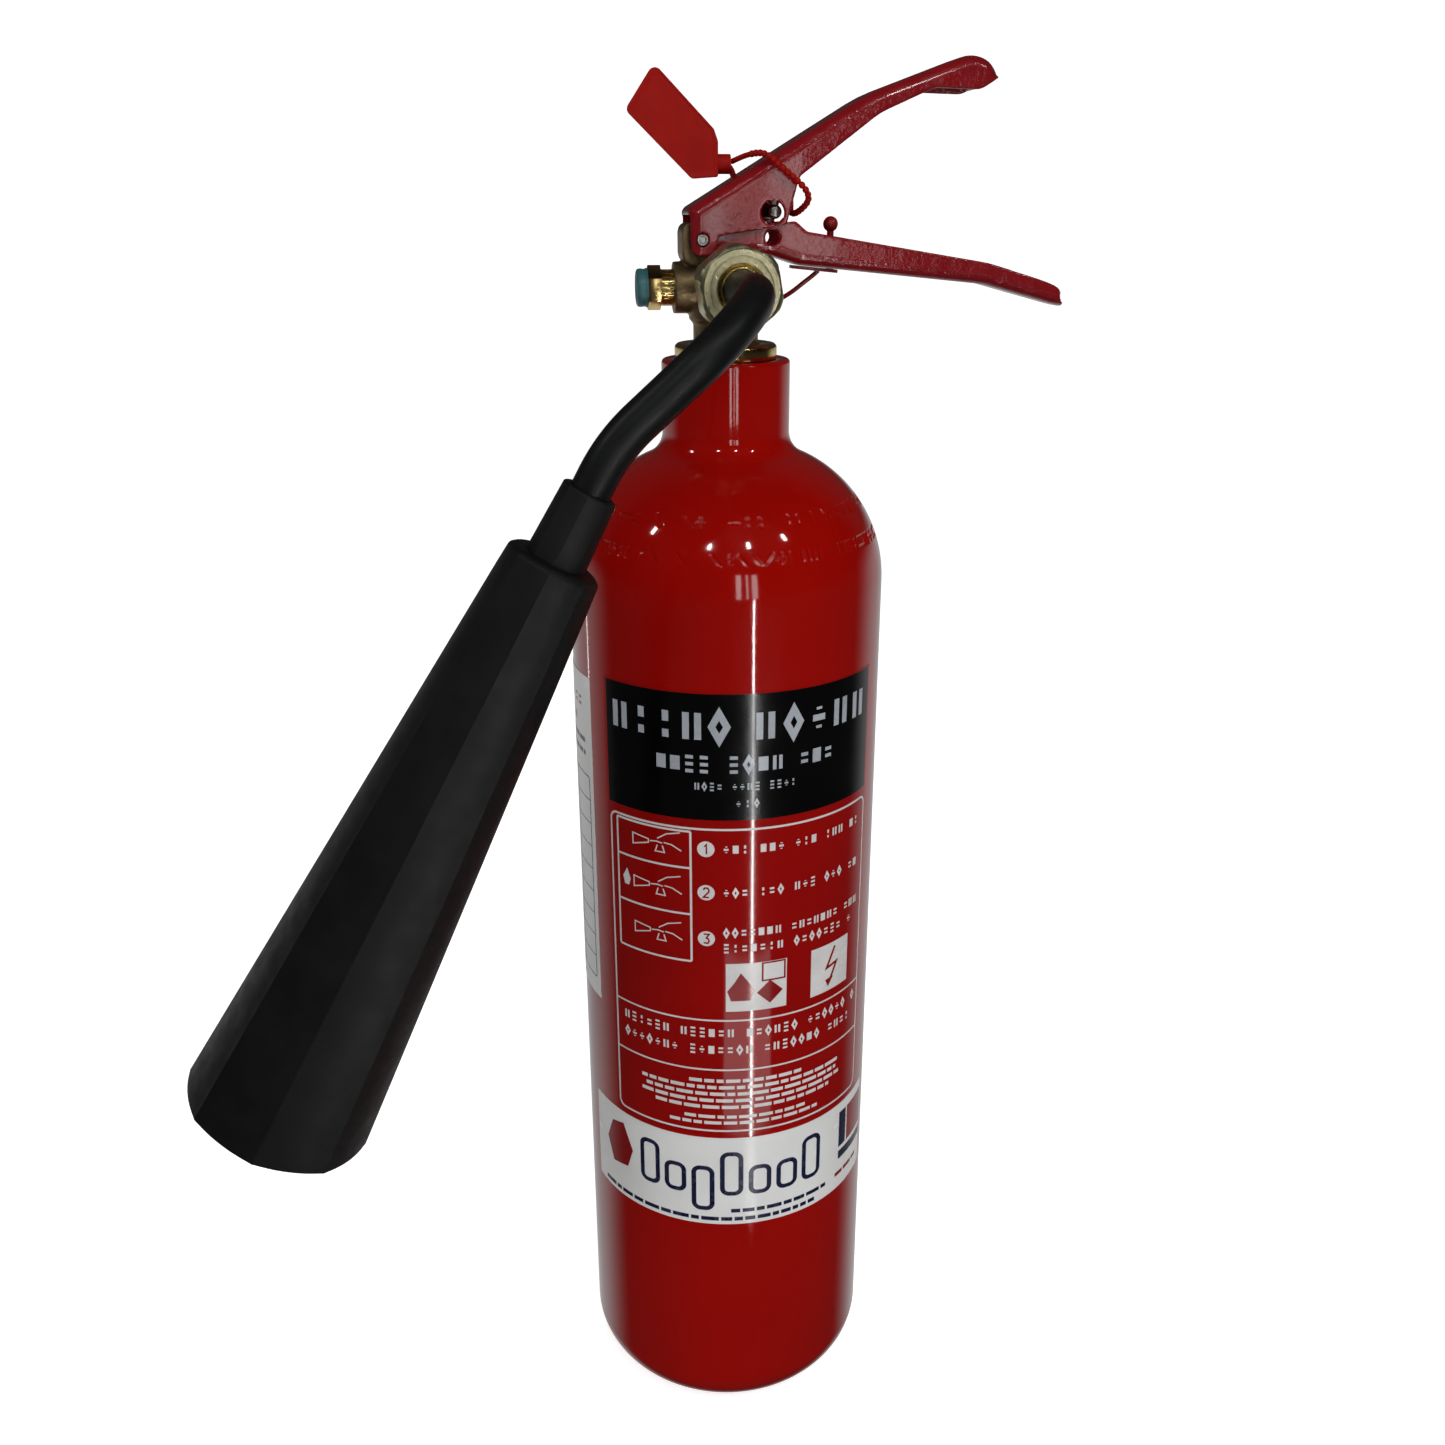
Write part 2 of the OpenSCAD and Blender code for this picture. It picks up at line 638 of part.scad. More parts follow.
// eyelet that hangs on the loop and holds the tether
module tether_eye() {
    color(CRIMSON) translate([pin_x, 30, pin_z - loop_half - 0.3]) rotate([90, 0, 0]) ring(2.5, 0.7);
}

module tether_anchor() {
    color(CRIMSON) {
        translate([anchor_x, 0, 477.4]) sphere(2.6, $fn = 32);
        rod_z(anchor_x, 0, 461.6, 476, 1.2);
        translate([anchor_x, 0, 462.6]) rotate([0, web_slope, 0])
            translate([-14, -2.5, -1.2]) cube([16.5, 5, 1.1]);
    }
}

module pin_tether() { color(CRIMSON) sweep(smooth(TETHER, 3), tether_r, 8, [0.6, 0.5, -0.6]); }

// ---- tamper seal ----

module seal_tag() { color(SEAL_RED) prism_y(rounded(TAG_SIDE), -5.6, -4.2); }

module seal_head() {
    color(SEAL_RED) difference() {
        union() {
            translate([-4.2, -1, 496.6]) rotate([0, 90, 0]) cylinder(h = 5.6, r = 3.2);
            translate([-6, -4.2, 494]) cube([3, 6, 5]);
        }
        translate([0.6, -1, 496.6]) rotate([0, 90, 0]) cylinder(h = 1, r = 2.3);
    }
}

module seal_strap() { color(SEAL_RED) sweep(smooth(STRAP, 2), strap_r, 8, [0.33, 0.16, 0.93]); }

cylinder_shell();  // cylinder
front_label();
band_label();
service_label();
neck_ring();
neck_oring();
valve_body();
dip_tube_bush();
dip_tube();
valve_spring();
valve_stem();
stem_seal();
stem_oring();
gland_nut();
burst_disc();
relief_washer();
relief_plug();
relief_cap();
swivel_nut();
swivel_spigot();
spigot_orings();
discharge_tube();
jet_nozzle();
horn_collar();
horn();
carry_handle();
pivot_pin();
squeeze_lever();
safety_pin();
pin_loop();
tether_eye();
tether_anchor();
pin_tether();
seal_tag();
seal_head();
seal_strap();
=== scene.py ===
"""Looks of the carbon dioxide fire extinguisher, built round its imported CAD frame.

Lengths are in millimetres until a mesh is made. Angles round the cylinder are in degrees, from -Y towards +X.
"""
import contextlib
import math
import random
from math import cos, pi, radians, sin

import bmesh
import bpy
import numpy as np
from mathutils import Matrix, Vector


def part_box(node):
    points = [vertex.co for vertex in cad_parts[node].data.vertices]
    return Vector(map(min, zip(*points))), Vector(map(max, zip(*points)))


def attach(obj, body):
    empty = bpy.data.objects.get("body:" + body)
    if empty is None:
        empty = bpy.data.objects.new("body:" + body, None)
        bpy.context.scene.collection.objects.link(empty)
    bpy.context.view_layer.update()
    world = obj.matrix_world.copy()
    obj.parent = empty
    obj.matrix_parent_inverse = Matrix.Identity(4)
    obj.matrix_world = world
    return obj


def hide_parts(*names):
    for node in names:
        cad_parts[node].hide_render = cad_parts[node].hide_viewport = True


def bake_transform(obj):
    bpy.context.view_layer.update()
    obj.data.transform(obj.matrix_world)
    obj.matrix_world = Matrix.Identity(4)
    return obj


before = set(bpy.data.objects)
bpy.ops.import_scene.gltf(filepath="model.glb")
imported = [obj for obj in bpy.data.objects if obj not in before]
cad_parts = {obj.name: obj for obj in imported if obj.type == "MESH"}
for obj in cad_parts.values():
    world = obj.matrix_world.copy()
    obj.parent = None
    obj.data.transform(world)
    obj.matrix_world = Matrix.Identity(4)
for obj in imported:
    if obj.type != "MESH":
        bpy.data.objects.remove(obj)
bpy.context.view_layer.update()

MM = 0.001
TAU = 2 * pi
FIXED = "cylinder_and_valve"


# ---- sizes taken from the frame ----

def low(node):
    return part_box(node)[0] / MM


def high(node):
    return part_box(node)[1] / MM


def centre(node):
    return (low(node) + high(node)) / 2


CYLINDER_R = high("cylinder").x
NECK_TOP = high("cylinder").z
LABEL_T = 0.15
PRINT_T = 0.035
LABEL_LOW, LABEL_HIGH = low("front_label").z, high("front_label").z
BAND_LOW, BAND_HIGH = low("band_label").z, high("band_label").z
OUTLET_Z = centre("swivel_nut").z
PIN_X, PIN_Z = centre("safety_pin").xz
PIVOT_X, PIVOT_Z = centre("pivot_pin").xz

# sizes of the CAD model that its boxes don't give
BASE_EDGE_R = 19
SHOULDER_Z = 353
SHOULDER_R = 50
NECK_R = 23
NECK_FILLET_R = 9
NECK_BORE_R = 12.5
HORN_Y = 92
TUBE_START = 33
TUBE_ANGLE = 48.4
HORN_ANGLE = 28.6
TUBE_REACH = 61.5
BEND_R = 30
LOWER_BEND_R = 60
TUBE_R = 6.35
# distances along the horn's axis from the lower bend's corner
COLLAR_TOP = 15.1
TUBE_END = 33
CONE_TOP = 38.4
# sizes of the horn, the pressed sheet and the nut
HORN_LEN = 213
HORN_TOP_R = 14.8
HORN_MOUTH_R = 31.8
CONE_WALL = 2.2
SHEET_T = 2.2
SHEET_BEND_R = 4.2
NUT_BORE_R = 10.95

# outlines of the lever and the handle: each corner is [x, z, radius], or [x, y, radius] from above
LEVER_SKIN = [[-14.2, 474, 0], [-14.2, 482.4, 3], [47, 518.6, 50], [84.2, 532, 11.5], [93.2, 524.6, 0]]
LEVER_PLAN = [[-30, 14, 0], [24, 14, 20], [60, 12.5, 20], [94.5, 11.5, 8], [94.5, 0, 0]]
HANDLE_SKIN = [[-13.8, 474, 0], [-13.8, 467.3, 4.2], [14.2, 467.3, 10], [24.4, 464, 6], [91, 457.3, 30],
               [122.9, 448.8, 1], [121.2, 456.2, 0]]
HANDLE_PLAN = [[-30, 11.7, 0], [60, 11.7, 30], [124, 10.3, 8], [124, 0, 0]]
TAG_SIDE = [[-24.4, 527.2, 2.5], [-34.2, 513, 2.2], [-12.2, 491.8, 2], [-3.2, 492.4, 0.8],
            [-3.2, 503.6, 4], [-4.6, 507.4, 2]]

# routes of the cord and the seal's strap, as in the CAD model
TETHER_ROUTE = [
    (33, 0, 462), (31, 0.4, 460.2), (28, 1, 457.9), (25, 2.2, 455.4), (22, 4, 453.2),
    (19.4, 6.6, 451.6), (17.4, 10, 450.8), (16, 14, 451), (15, 18, 452.6), (14.4, 22, 455.4),
    (14.2, 25.4, 458.8), (14.4, 28, 462.4), (14.9, 29.6, 466.4), (15.5, 30, 470.1)]
STRAP_ROUTE = [
    (2, -1, 497.4), (6.2, -5.6, 499.2), (10, -11.4, 499.8), (13, -15.4, 498.4), (17, -16.6, 495),
    (21.4, -16.6, 491.6), (25, -15.8, 488.2), (26.4, -13.2, 485.4), (25.6, -9.4, 483),
    (23.8, -4, 481), (23, 1, 481.4), (23.8, 6, 483.6), (24.4, 11, 485.8), (23.6, 20, 486),
    (21.4, 32, 485.4), (19.2, 45.6, 484.2), (15.5, 49, 483.2), (11.4, 47, 483.8),
    (9, 38, 486), (7.4, 28, 489.4), (5.6, 20, 493.2), (3.4, 13, 495.6), (0.8, 6, 496.6),
    (-0.8, 3.4, 496.6)]


# ---- objects and camera ----

def add_object(name, data):
    """A new object in the scene's collection."""
    obj = bpy.data.objects.new(name, data)
    bpy.context.collection.objects.link(obj)
    return obj


def make_camera():
    data = bpy.data.cameras.new("camera")
    data.lens = 34.16
    data.sensor_width = 36
    data.shift_x = -0.0045
    data.clip_start = 0.01
    camera = add_object("camera", data)
    camera.location = Vector((-69.0, -499.6, 482.1)) * MM
    camera.rotation_euler = (radians(69.49), 0, radians(-8))
    bpy.context.scene.camera = camera


make_camera()


# ---- mesh helpers ----

def new_mesh(name, points, faces):
    """A mesh from points in millimetres."""
    mesh = bpy.data.meshes.new(name)
    mesh.from_pydata([tuple(c * MM for c in p) for p in points], [], faces)
    return mesh


@contextlib.contextmanager
def editing(mesh):
    """Opens a mesh for editing and writes it back."""
    work = bmesh.new()
    work.from_mesh(mesh)
    yield work
    work.to_mesh(mesh)
    work.free()


def piece(name, shape, material, body, nodes, sharp=35):
    """A mesh piece from a shape's points and faces, which rides on a body and stands for CAD nodes."""
    mesh = new_mesh(name, *shape)
    mesh.validate()
    return dress(add_object(name, mesh), material, body, nodes, sharp)


def dress(obj, material, body, nodes, sharp):
    """Gives a piece its material, shading and body, and hides the CAD nodes that it replaces. The cord is
    given no body.
    """
    mesh = obj.data
    mesh.materials.clear()
    mesh.materials.append(material)
    mesh.shade_smooth()
    mesh.set_sharp_from_angle(angle=radians(sharp))
    if body:
        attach(obj, body)
    if nodes:
        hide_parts(*nodes)
    return obj


def apply_modifiers(obj):
    """Replaces the mesh by what its modifiers make of it."""
    graph = bpy.context.evaluated_depsgraph_get()
    made = bpy.data.meshes.new_from_object(obj.evaluated_get(graph))
    obj.modifiers.clear()
    obj.data = made
    return obj


def cad_copy(node, name):
    """A new object with a merged, plain copy of a CAD node's mesh."""
    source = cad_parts[node].data
    mesh = bpy.data.meshes.new(name)
    mesh.from_pydata([tuple(v.co) for v in source.vertices], [], [tuple(p.vertices) for p in source.polygons])
    with editing(mesh) as work:
        bmesh.ops.remove_doubles(work, verts=work.verts, dist=0.002 * MM)
        bmesh.ops.dissolve_limit(work, angle_limit=radians(0.5), verts=work.verts, edges=work.edges)
    return add_object(name, mesh)


def bevelled(node, name, material, body, width, segments=2):
    """A CAD node's shape with its machined edges broken."""
    obj = cad_copy(node, name)
    bevel = obj.modifiers.new("bevel", "BEVEL")
    bevel.width = width * MM
    bevel.segments = segments
    bevel.limit_method = "ANGLE"
    bevel.angle_limit = radians(28)
    bevel.use_clamp_overlap = True
    apply_modifiers(obj)
    return dress(obj, material, body, [node], 40)


def remeshed(node, name, rounds):
    """A CAD node's shape as an even, softened skin, as casting or pressing leaves it. rounds is how many
    times it is softened."""
    obj = cad_copy(node, name)
    remesh = obj.modifiers.new("remesh", "REMESH")
    remesh.mode = "VOXEL"
    remesh.voxel_size = 0.5 * MM
    soften = obj.modifiers.new("soften", "SMOOTH")
    soften.factor = 0.5
    soften.iterations = rounds
    return apply_modifiers(obj)


def unit(v):
    return v / np.linalg.norm(v)


def round_corner(a, b, c, radius):
    """Points on the arc that rounds corner b of a path a, b, c."""
    u, v = unit(a - b), unit(c - b)
    half = math.acos(float(np.clip(u @ v, -1, 1))) / 2
    middle = b + unit(u + v) * radius / sin(half)
    start, end = b + u * radius / math.tan(half), b + v * radius / math.tan(half)
    first = math.atan2(*(start - middle)[::-1])
    turn = math.atan2(*(end - middle)[::-1]) - first
    turn = (turn + pi) % TAU - pi
    steps = max(2, math.ceil(abs(turn) / radians(8)))
    angles = [first + turn * i / steps for i in range(steps + 1)]
    return [middle + radius * np.array([cos(a), sin(a)]) for a in angles]


def rounded(corners, closed=False):
    """An outline through corners [x, y, radius], as a list of points."""
    flat = [np.array(c[:2], float) for c in corners]
    n = len(flat)
    points = []
    for i, corner in enumerate(corners):
        at_end = not closed and i in (0, n - 1)
        if at_end or len(corner) < 3 or corner[2] == 0:
            points.append(flat[i])
        else:
            points += round_corner(flat[i - 1], flat[i], flat[(i + 1) % n], corner[2])
    return points


def lathe(profile, sides, place=Matrix(), shape=None, ring=False):
    """Points and faces of a profile (radius, height) turned round Z, then placed. A radius of 0 makes a
    single point, shape gives the radius at an angle, and ring joins the profile's ends."""
    points, faces, rows = [], [], []
    for radius, height in profile:
        row = []
        for k in range(1 if radius == 0 else sides):
            angle = TAU * k / sides
            r = shape(angle, radius) if shape else radius
            row.append(len(points))
            points.append(place @ Vector((r * cos(angle), r * sin(angle), height)))
        rows.append(row)
    if ring:
        rows.append(rows[0])
    for first, second in zip(rows, rows[1:]):
        for k in range(sides):
            n = (k + 1) % sides
            if len(first) == 1 and len(second) == 1:
                continue
            if len(first) == 1:
                faces.append((first[0], second[n], second[k]))
            elif len(second) == 1:
                faces.append((first[k], first[n], second[0]))
            else:
                faces.append((first[k], first[n], second[n], second[k]))
    return points, faces


def sweep(path, radius, sides, closed=False):
    """Points and faces of a round bar along a path of Vectors. radius is a number or a function of the
    ring's number."""
    n = len(path)
    points, faces = [], []
    across = None
    for i, p in enumerate(path):
        if closed:
            ahead = (path[(i + 1) % n] - path[i - 1]).normalized()
        else:
            ahead = (path[min(i + 1, n - 1)] - path[max(i - 1, 0)]).normalized()
        if across is None:
            across = ahead.orthogonal().normalized()
        across = (across - ahead * across.dot(ahead)).normalized()
        up = ahead.cross(across)
        r = radius(i) if callable(radius) else radius
        for k in range(sides):
            angle = TAU * k / sides
            points.append(p + r * (across * cos(angle) + up * sin(angle)))
    for i in range(n if closed else n - 1):
        for k in range(sides):
            a, b = i * sides, (i + 1) % n * sides
            m = (k + 1) % sides
            faces.append((a + k, a + m, b + m, b + k))
    if not closed:
        faces.append(tuple(range(sides - 1, -1, -1)))
        faces.append(tuple((n - 1) * sides + k for k in range(sides)))
    return points, faces


def smooth_path(route, steps):
    """A smooth path through a route's points, with steps points between each two."""
    p = [Vector(q) for q in route]
    n = len(p) - 1
    path = []
    for i in range(n):
        a, b, c, d = p[max(i - 1, 0)], p[i], p[i + 1], p[min(i + 2, n)]
        for s in range(steps):
            t = s / steps
            path.append(0.5 * (2 * b + (c - a) * t + (2 * a - 5 * b + 4 * c - d) * t * t
                               + (3 * b - a - 3 * c + d) * t ** 3))
    return path + [p[n]]


def even_path(path, gap):
    """The path with its points a gap apart."""
    lengths = np.cumsum([0] + [(b - a).length for a, b in zip(path, path[1:])])
    wanted = np.linspace(0, lengths[-1], max(2, round(lengths[-1] / gap) + 1))
    coords = np.array([tuple(p) for p in path])
    return [Vector([float(np.interp(s, lengths, coords[:, axis])) for axis in range(3)]) for s in wanted]


def along_y(x, z):
    """Placement that turns a lathe's Z axis to +Y, through (x, z)."""
    return Matrix.Translation((x, 0, z)) @ Matrix.Rotation(-pi / 2, 4, "X")


def along_x(z):
    """Placement that turns a lathe's Z axis to +X."""
    return Matrix.Translation((0, 0, z)) @ Matrix.Rotation(pi / 2, 4, "Y")


def to_the_front(point):
    """Placement that turns a lathe's Z axis to -Y, from a point."""
    return Matrix.Translation(point) @ Matrix.Rotation(pi / 2, 4, "X")


# ---- materials ----

def map_range(nodes, links, value, spans, kind="LINEAR"):
    """Maps a value from one span to another: spans is (from, to, from, to)."""
    node = nodes.new("ShaderNodeMapRange")
    node.interpolation_type = kind
    for socket, number in zip(("From Min", "From Max", "To Min", "To Max"), spans):
        node.inputs[socket].default_value = number
    links.new(value, node.inputs["Value"])
    return node.outputs["Result"]


def finish(name, base, other, blotch, roughness, rough_size, bumps=(), metallic=0.0,
           grain=(1, 1, 1), **sockets):
    """A procedural finish: base and other mixed in blotches, roughness that varies between two values, and
    bumps, each (size, height, detail), the first two in millimetres. grain stretches the pattern along the
    axes, and sockets are further values of the shader."""
    material = bpy.data.materials.new(name)
    material.use_nodes = True
    nodes, links = material.node_tree.nodes, material.node_tree.links
    shader = nodes["Principled BSDF"]
    coords = nodes.new("ShaderNodeTexCoord")
    mapping = nodes.new("ShaderNodeMapping")
    mapping.inputs["Scale"].default_value = grain
    links.new(coords.outputs["Object"], mapping.inputs["Vector"])

    def noise(size, detail=2.0):
        texture = nodes.new("ShaderNodeTexNoise")
        texture.inputs["Scale"].default_value = 1 / (size * MM)
        texture.inputs["Detail"].default_value = detail
        links.new(mapping.outputs["Vector"], texture.inputs["Vector"])
        return texture.outputs["Fac"]

    def spread(value, lowest, highest):
        return map_range(nodes, links, value, (0.3, 0.7, lowest, highest))

    mix = nodes.new("ShaderNodeMix")
    mix.data_type = "RGBA"
    for socket in mix.inputs:
        if socket.type == "RGBA":
            socket.default_value = (*(base if socket.name == "A" else other), 1)
    links.new(spread(noise(blotch, 4.0), 0, 1), mix.inputs[0])
    colour = [s for s in mix.outputs if s.type == "RGBA"][0]
    links.new(colour, shader.inputs["Base Color"])
    links.new(spread(noise(rough_size, 3.0), *roughness), shader.inputs["Roughness"])
    normal = None
    for size, height, detail in bumps:
        bump = nodes.new("ShaderNodeBump")
        bump.inputs["Strength"].default_value = 1
        bump.inputs["Distance"].default_value = height * MM
        links.new(noise(size, detail), bump.inputs["Height"])
        if normal:
            links.new(normal, bump.inputs["Normal"])
        normal = bump.outputs["Normal"]
    if normal:
        links.new(normal, shader.inputs["Normal"])
    shader.inputs["Metallic"].default_value = metallic
    for socket, value in sockets.items():
        shader.inputs[socket.replace("_", " ")].default_value = value
    return material


def ink(name, base, other, roughness=(0.22, 0.30)):
    """Printing ink, which only differs in colour and gloss."""
    return finish(name, base, other, 12, roughness, 6, [(3, 0.004, 2.0)])


PAINT = finish("signal_red_paint", (0.335, 0.0030, 0.0012), (0.300, 0.0024, 0.0010), 60, (0.05, 0.09), 25,
               [(2.6, 0.010, 2.0)], Coat_Weight=0.3, Coat_Roughness=0.03)
HANDLE_PAINT = finish("crimson_paint", (0.235, 0.0062, 0.0100), (0.195, 0.0046, 0.0076), 14, (0.14, 0.24), 6,
                      [(1.3, 0.16, 2.0), (4, 0.22, 1.0)], Coat_Weight=0.4, Coat_Roughness=0.06)
LABEL_RED = finish("label_red_film", (0.300, 0.0026, 0.0016), (0.275, 0.0022, 0.0014), 30, (0.07, 0.11), 20,
                   [(9, 0.010, 1.0)], Coat_Weight=0.3, Coat_Roughness=0.05)
LABEL_WHITE = finish("label_white_film", (0.80, 0.80, 0.79), (0.72, 0.72, 0.71), 30, (0.20, 0.28), 20,
                     [(9, 0.010, 1.0)])
PRINT_BLACK = finish("print_black", (0.0016, 0.0016, 0.0018), (0.0024, 0.0024, 0.0024), 20, (0.14, 0.20), 12,
                     [(9, 0.006, 1.0)], Coat_Weight=0.2, Coat_Roughness=0.06)
PRINT_WHITE = ink("print_white", (0.72, 0.70, 0.69), (0.62, 0.60, 0.59))
PRINT_GREY = ink("print_grey", (0.42, 0.45, 0.49), (0.34, 0.36, 0.40))
PRINT_RED = ink("print_red", (0.26, 0.006, 0.007), (0.22, 0.005, 0.006), (0.10, 0.15))
PRINT_NAVY = ink("print_navy", (0.012, 0.014, 0.050), (0.010, 0.012, 0.042))
CAST_BRASS = finish("cast_brass", (0.30, 0.21, 0.105), (0.21, 0.145, 0.075), 5, (0.34, 0.52), 3,
                    [(0.9, 0.10, 3.0), (4, 0.10, 1.0)], metallic=0.9)
BRIGHT_BRASS = finish("bright_brass", (0.85, 0.64, 0.26), (0.74, 0.53, 0.20), 4, (0.16, 0.26), 2,
                      [(0.5, 0.010, 2.0)], metallic=1.0)
ZINC = finish("yellow_zinc", (0.68, 0.62, 0.36), (0.50, 0.47, 0.30), 1.6, (0.26, 0.42), 1.5,
              [(0.5, 0.07, 3.0), (2.4, 0.06, 1.0)], metallic=0.95)
STEEL = finish("bright_steel", (0.46, 0.45, 0.43), (0.36, 0.35, 0.34), 3, (0.26, 0.38), 2,
               [(0.5, 0.012, 2.0)], metallic=1.0)
SPRING_STEEL = finish("spring_steel", (0.34, 0.34, 0.35), (0.28, 0.28, 0.29), 3, (0.25, 0.35), 2,
                      [(0.6, 0.01, 2.0)], metallic=1.0)
TUBE_BLACK = finish("satin_black_paint", (0.005, 0.0052, 0.0055), (0.008, 0.0084, 0.009), 12, (0.34, 0.44), 5,
                    [(1.4, 0.016, 2.0)], Specular_IOR_Level=0.3)
HORN_BLACK = finish("moulded_black_plastic", (0.0035, 0.0037, 0.0038), (0.0055, 0.0058, 0.0060), 18,
                    (0.50, 0.62), 6, [(0.55, 0.022, 3.0), (10, 0.05, 1.0)], Specular_IOR_Level=0.35)
SEAL_PLASTIC = finish("seal_plastic", (0.33, 0.0040, 0.0006), (0.28, 0.0030, 0.0005), 7, (0.46, 0.58), 4,
                      [(1.2, 0.02, 2.0)], Specular_IOR_Level=0.12)
TETHER_PLASTIC = finish("tether_plastic", (0.24, 0.0050, 0.0070), (0.19, 0.0040, 0.0050), 5, (0.28, 0.38), 3,
                        [(1.0, 0.01, 2.0)])
CAP_PLASTIC = finish("teal_plastic", (0.030, 0.125, 0.135), (0.022, 0.095, 0.105), 4, (0.30, 0.42), 3,
                     [(0.9, 0.02, 2.0)])
RUBBER = finish("black_rubber", (0.012, 0.012, 0.012), (0.020, 0.020, 0.020), 3, (0.55, 0.70), 2,
                [(0.6, 0.02, 2.0)])
NYLON = finish("nylon", (0.55, 0.53, 0.48), (0.48, 0.46, 0.41), 3, (0.35, 0.45), 2, [(0.8, 0.01, 2.0)])
COPPER = finish("copper", (0.60, 0.25, 0.13), (0.48, 0.18, 0.09), 3, (0.25, 0.40), 2, [(0.6, 0.01, 2.0)],
                metallic=1.0)
DIP_ALUMINIUM = finish("drawn_aluminium", (0.58, 0.59, 0.60), (0.50, 0.51, 0.52), 4, (0.25, 0.38), 3,
                       [(0.8, 0.02, 2.0)], metallic=1.0, grain=(1, 1, 0.1))


# ---- the cord that keeps the pin ----

def make_tether():
    path = smooth_path(TETHER_ROUTE, 6)
    tether = piece("tether_cord", sweep(path, 0.8, 16), TETHER_PLASTIC, None, ["pin_tether"])
    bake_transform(tether)


make_tether()


# ---- cylinder ----

def shoulder_numbers():
    """Centre of the shoulder's arc, centre of the neck's fillet and the angle where they touch."""
    shoulder_x = CYLINDER_R - SHOULDER_R
    fillet_x = NECK_R + NECK_FILLET_R
    fillet_z = SHOULDER_Z + math.sqrt((SHOULDER_R + NECK_FILLET_R) ** 2 - (fillet_x - shoulder_x) ** 2)
    return shoulder_x, fillet_x, fillet_z, math.atan2(fillet_z - SHOULDER_Z, fillet_x - shoulder_x)


STAMP_LOW_Z = 366
STAMP_HIGH_Z = 389
STAMP_HEIGHT = 3.1
STAMP_DEPTH = 0.32
STAMP_STROKE = 0.62
# millimetres along the shoulder for each millimetre of height in the stamped rows
STAMP_SLOPE = 1.45
# the two rows: height, first angle and last angle
STAMP_ROWS = ((383, -66, 78), (372, -60, 72))
# the angles between which the cylinder's columns are close enough together for the stamps
FINE_FROM, FINE_TO, FINE_STEP = -82, 92, 0.34
# unit strokes that the stamped marks are made of: plain bars, slants, dots and a cross
STAMP_MARKS = (
    ((0, 0, 0, 1),), ((0, 0, 1, 1),), ((0, 1, 1, 0),), ((0, 0.5, 1, 0.5),),
    ((0, 0, 0, 1), (1, 0, 1, 1)), ((0.5, 0.1, 0.5, 0.2), (0.5, 0.8, 0.5, 0.9)),
    ((0, 0, 1, 0), (0, 1, 1, 1)), ((0, 0, 0, 1), (0.5, 0, 0.5, 1), (1, 0, 1, 1)),
    ((0.5, 0, 0.5, 1), (0, 0.5, 1, 0.5)))


def stamp_strokes():
    """Strokes of both rows of stamped marks: angle and height of one end, then of the other."""
    chance = random.Random(5)
    strokes = []
    for row_z, at, end in STAMP_ROWS:
        while at < end:
            wide = chance.uniform(2.4, 3.6)
            if chance.random() < 0.2:
                at += chance.uniform(3, 9)
            for x0, y0, x1, y1 in chance.choice(STAMP_MARKS):
                strokes.append((at + x0 * wide, row_z + (y0 - 0.5) * STAMP_HEIGHT,
                                at + x1 * wide, row_z + (y1 - 0.5) * STAMP_HEIGHT))
            at += wide + chance.uniform(1.2, 2.2)
    return strokes


def stamp_depth(angle, z, radius, strokes):
    """How deep the stamp goes at each point of the shoulder."""
    depth = np.zeros_like(z)
    scale = radius * pi / 180
    for a0, z0, a1, z1 in strokes:
        # millimetres along the shoulder from the stroke's first end
        px, py = (angle - a0) * scale, (z - z0) * STAMP_SLOPE
        dx, dy = (a1 - a0) * scale, (z1 - z0) * STAMP_SLOPE
        t = np.clip((px * dx + py * dy) / (dx * dx + dy * dy), 0, 1)
        away = np.hypot(px - t * dx, py - t * dy)
        depth = np.maximum(depth, np.clip(1.6 - away / STAMP_STROKE, 0, 1) ** 1.5)
    return depth * STAMP_DEPTH


def arc(x, z, r, first, last, steps):
    """Points on an arc round (x, z), from one angle to another."""
    angles = [first + (last - first) * i / steps for i in range(steps + 1)]
    return [(x + r * cos(a), z + r * sin(a)) for a in angles]


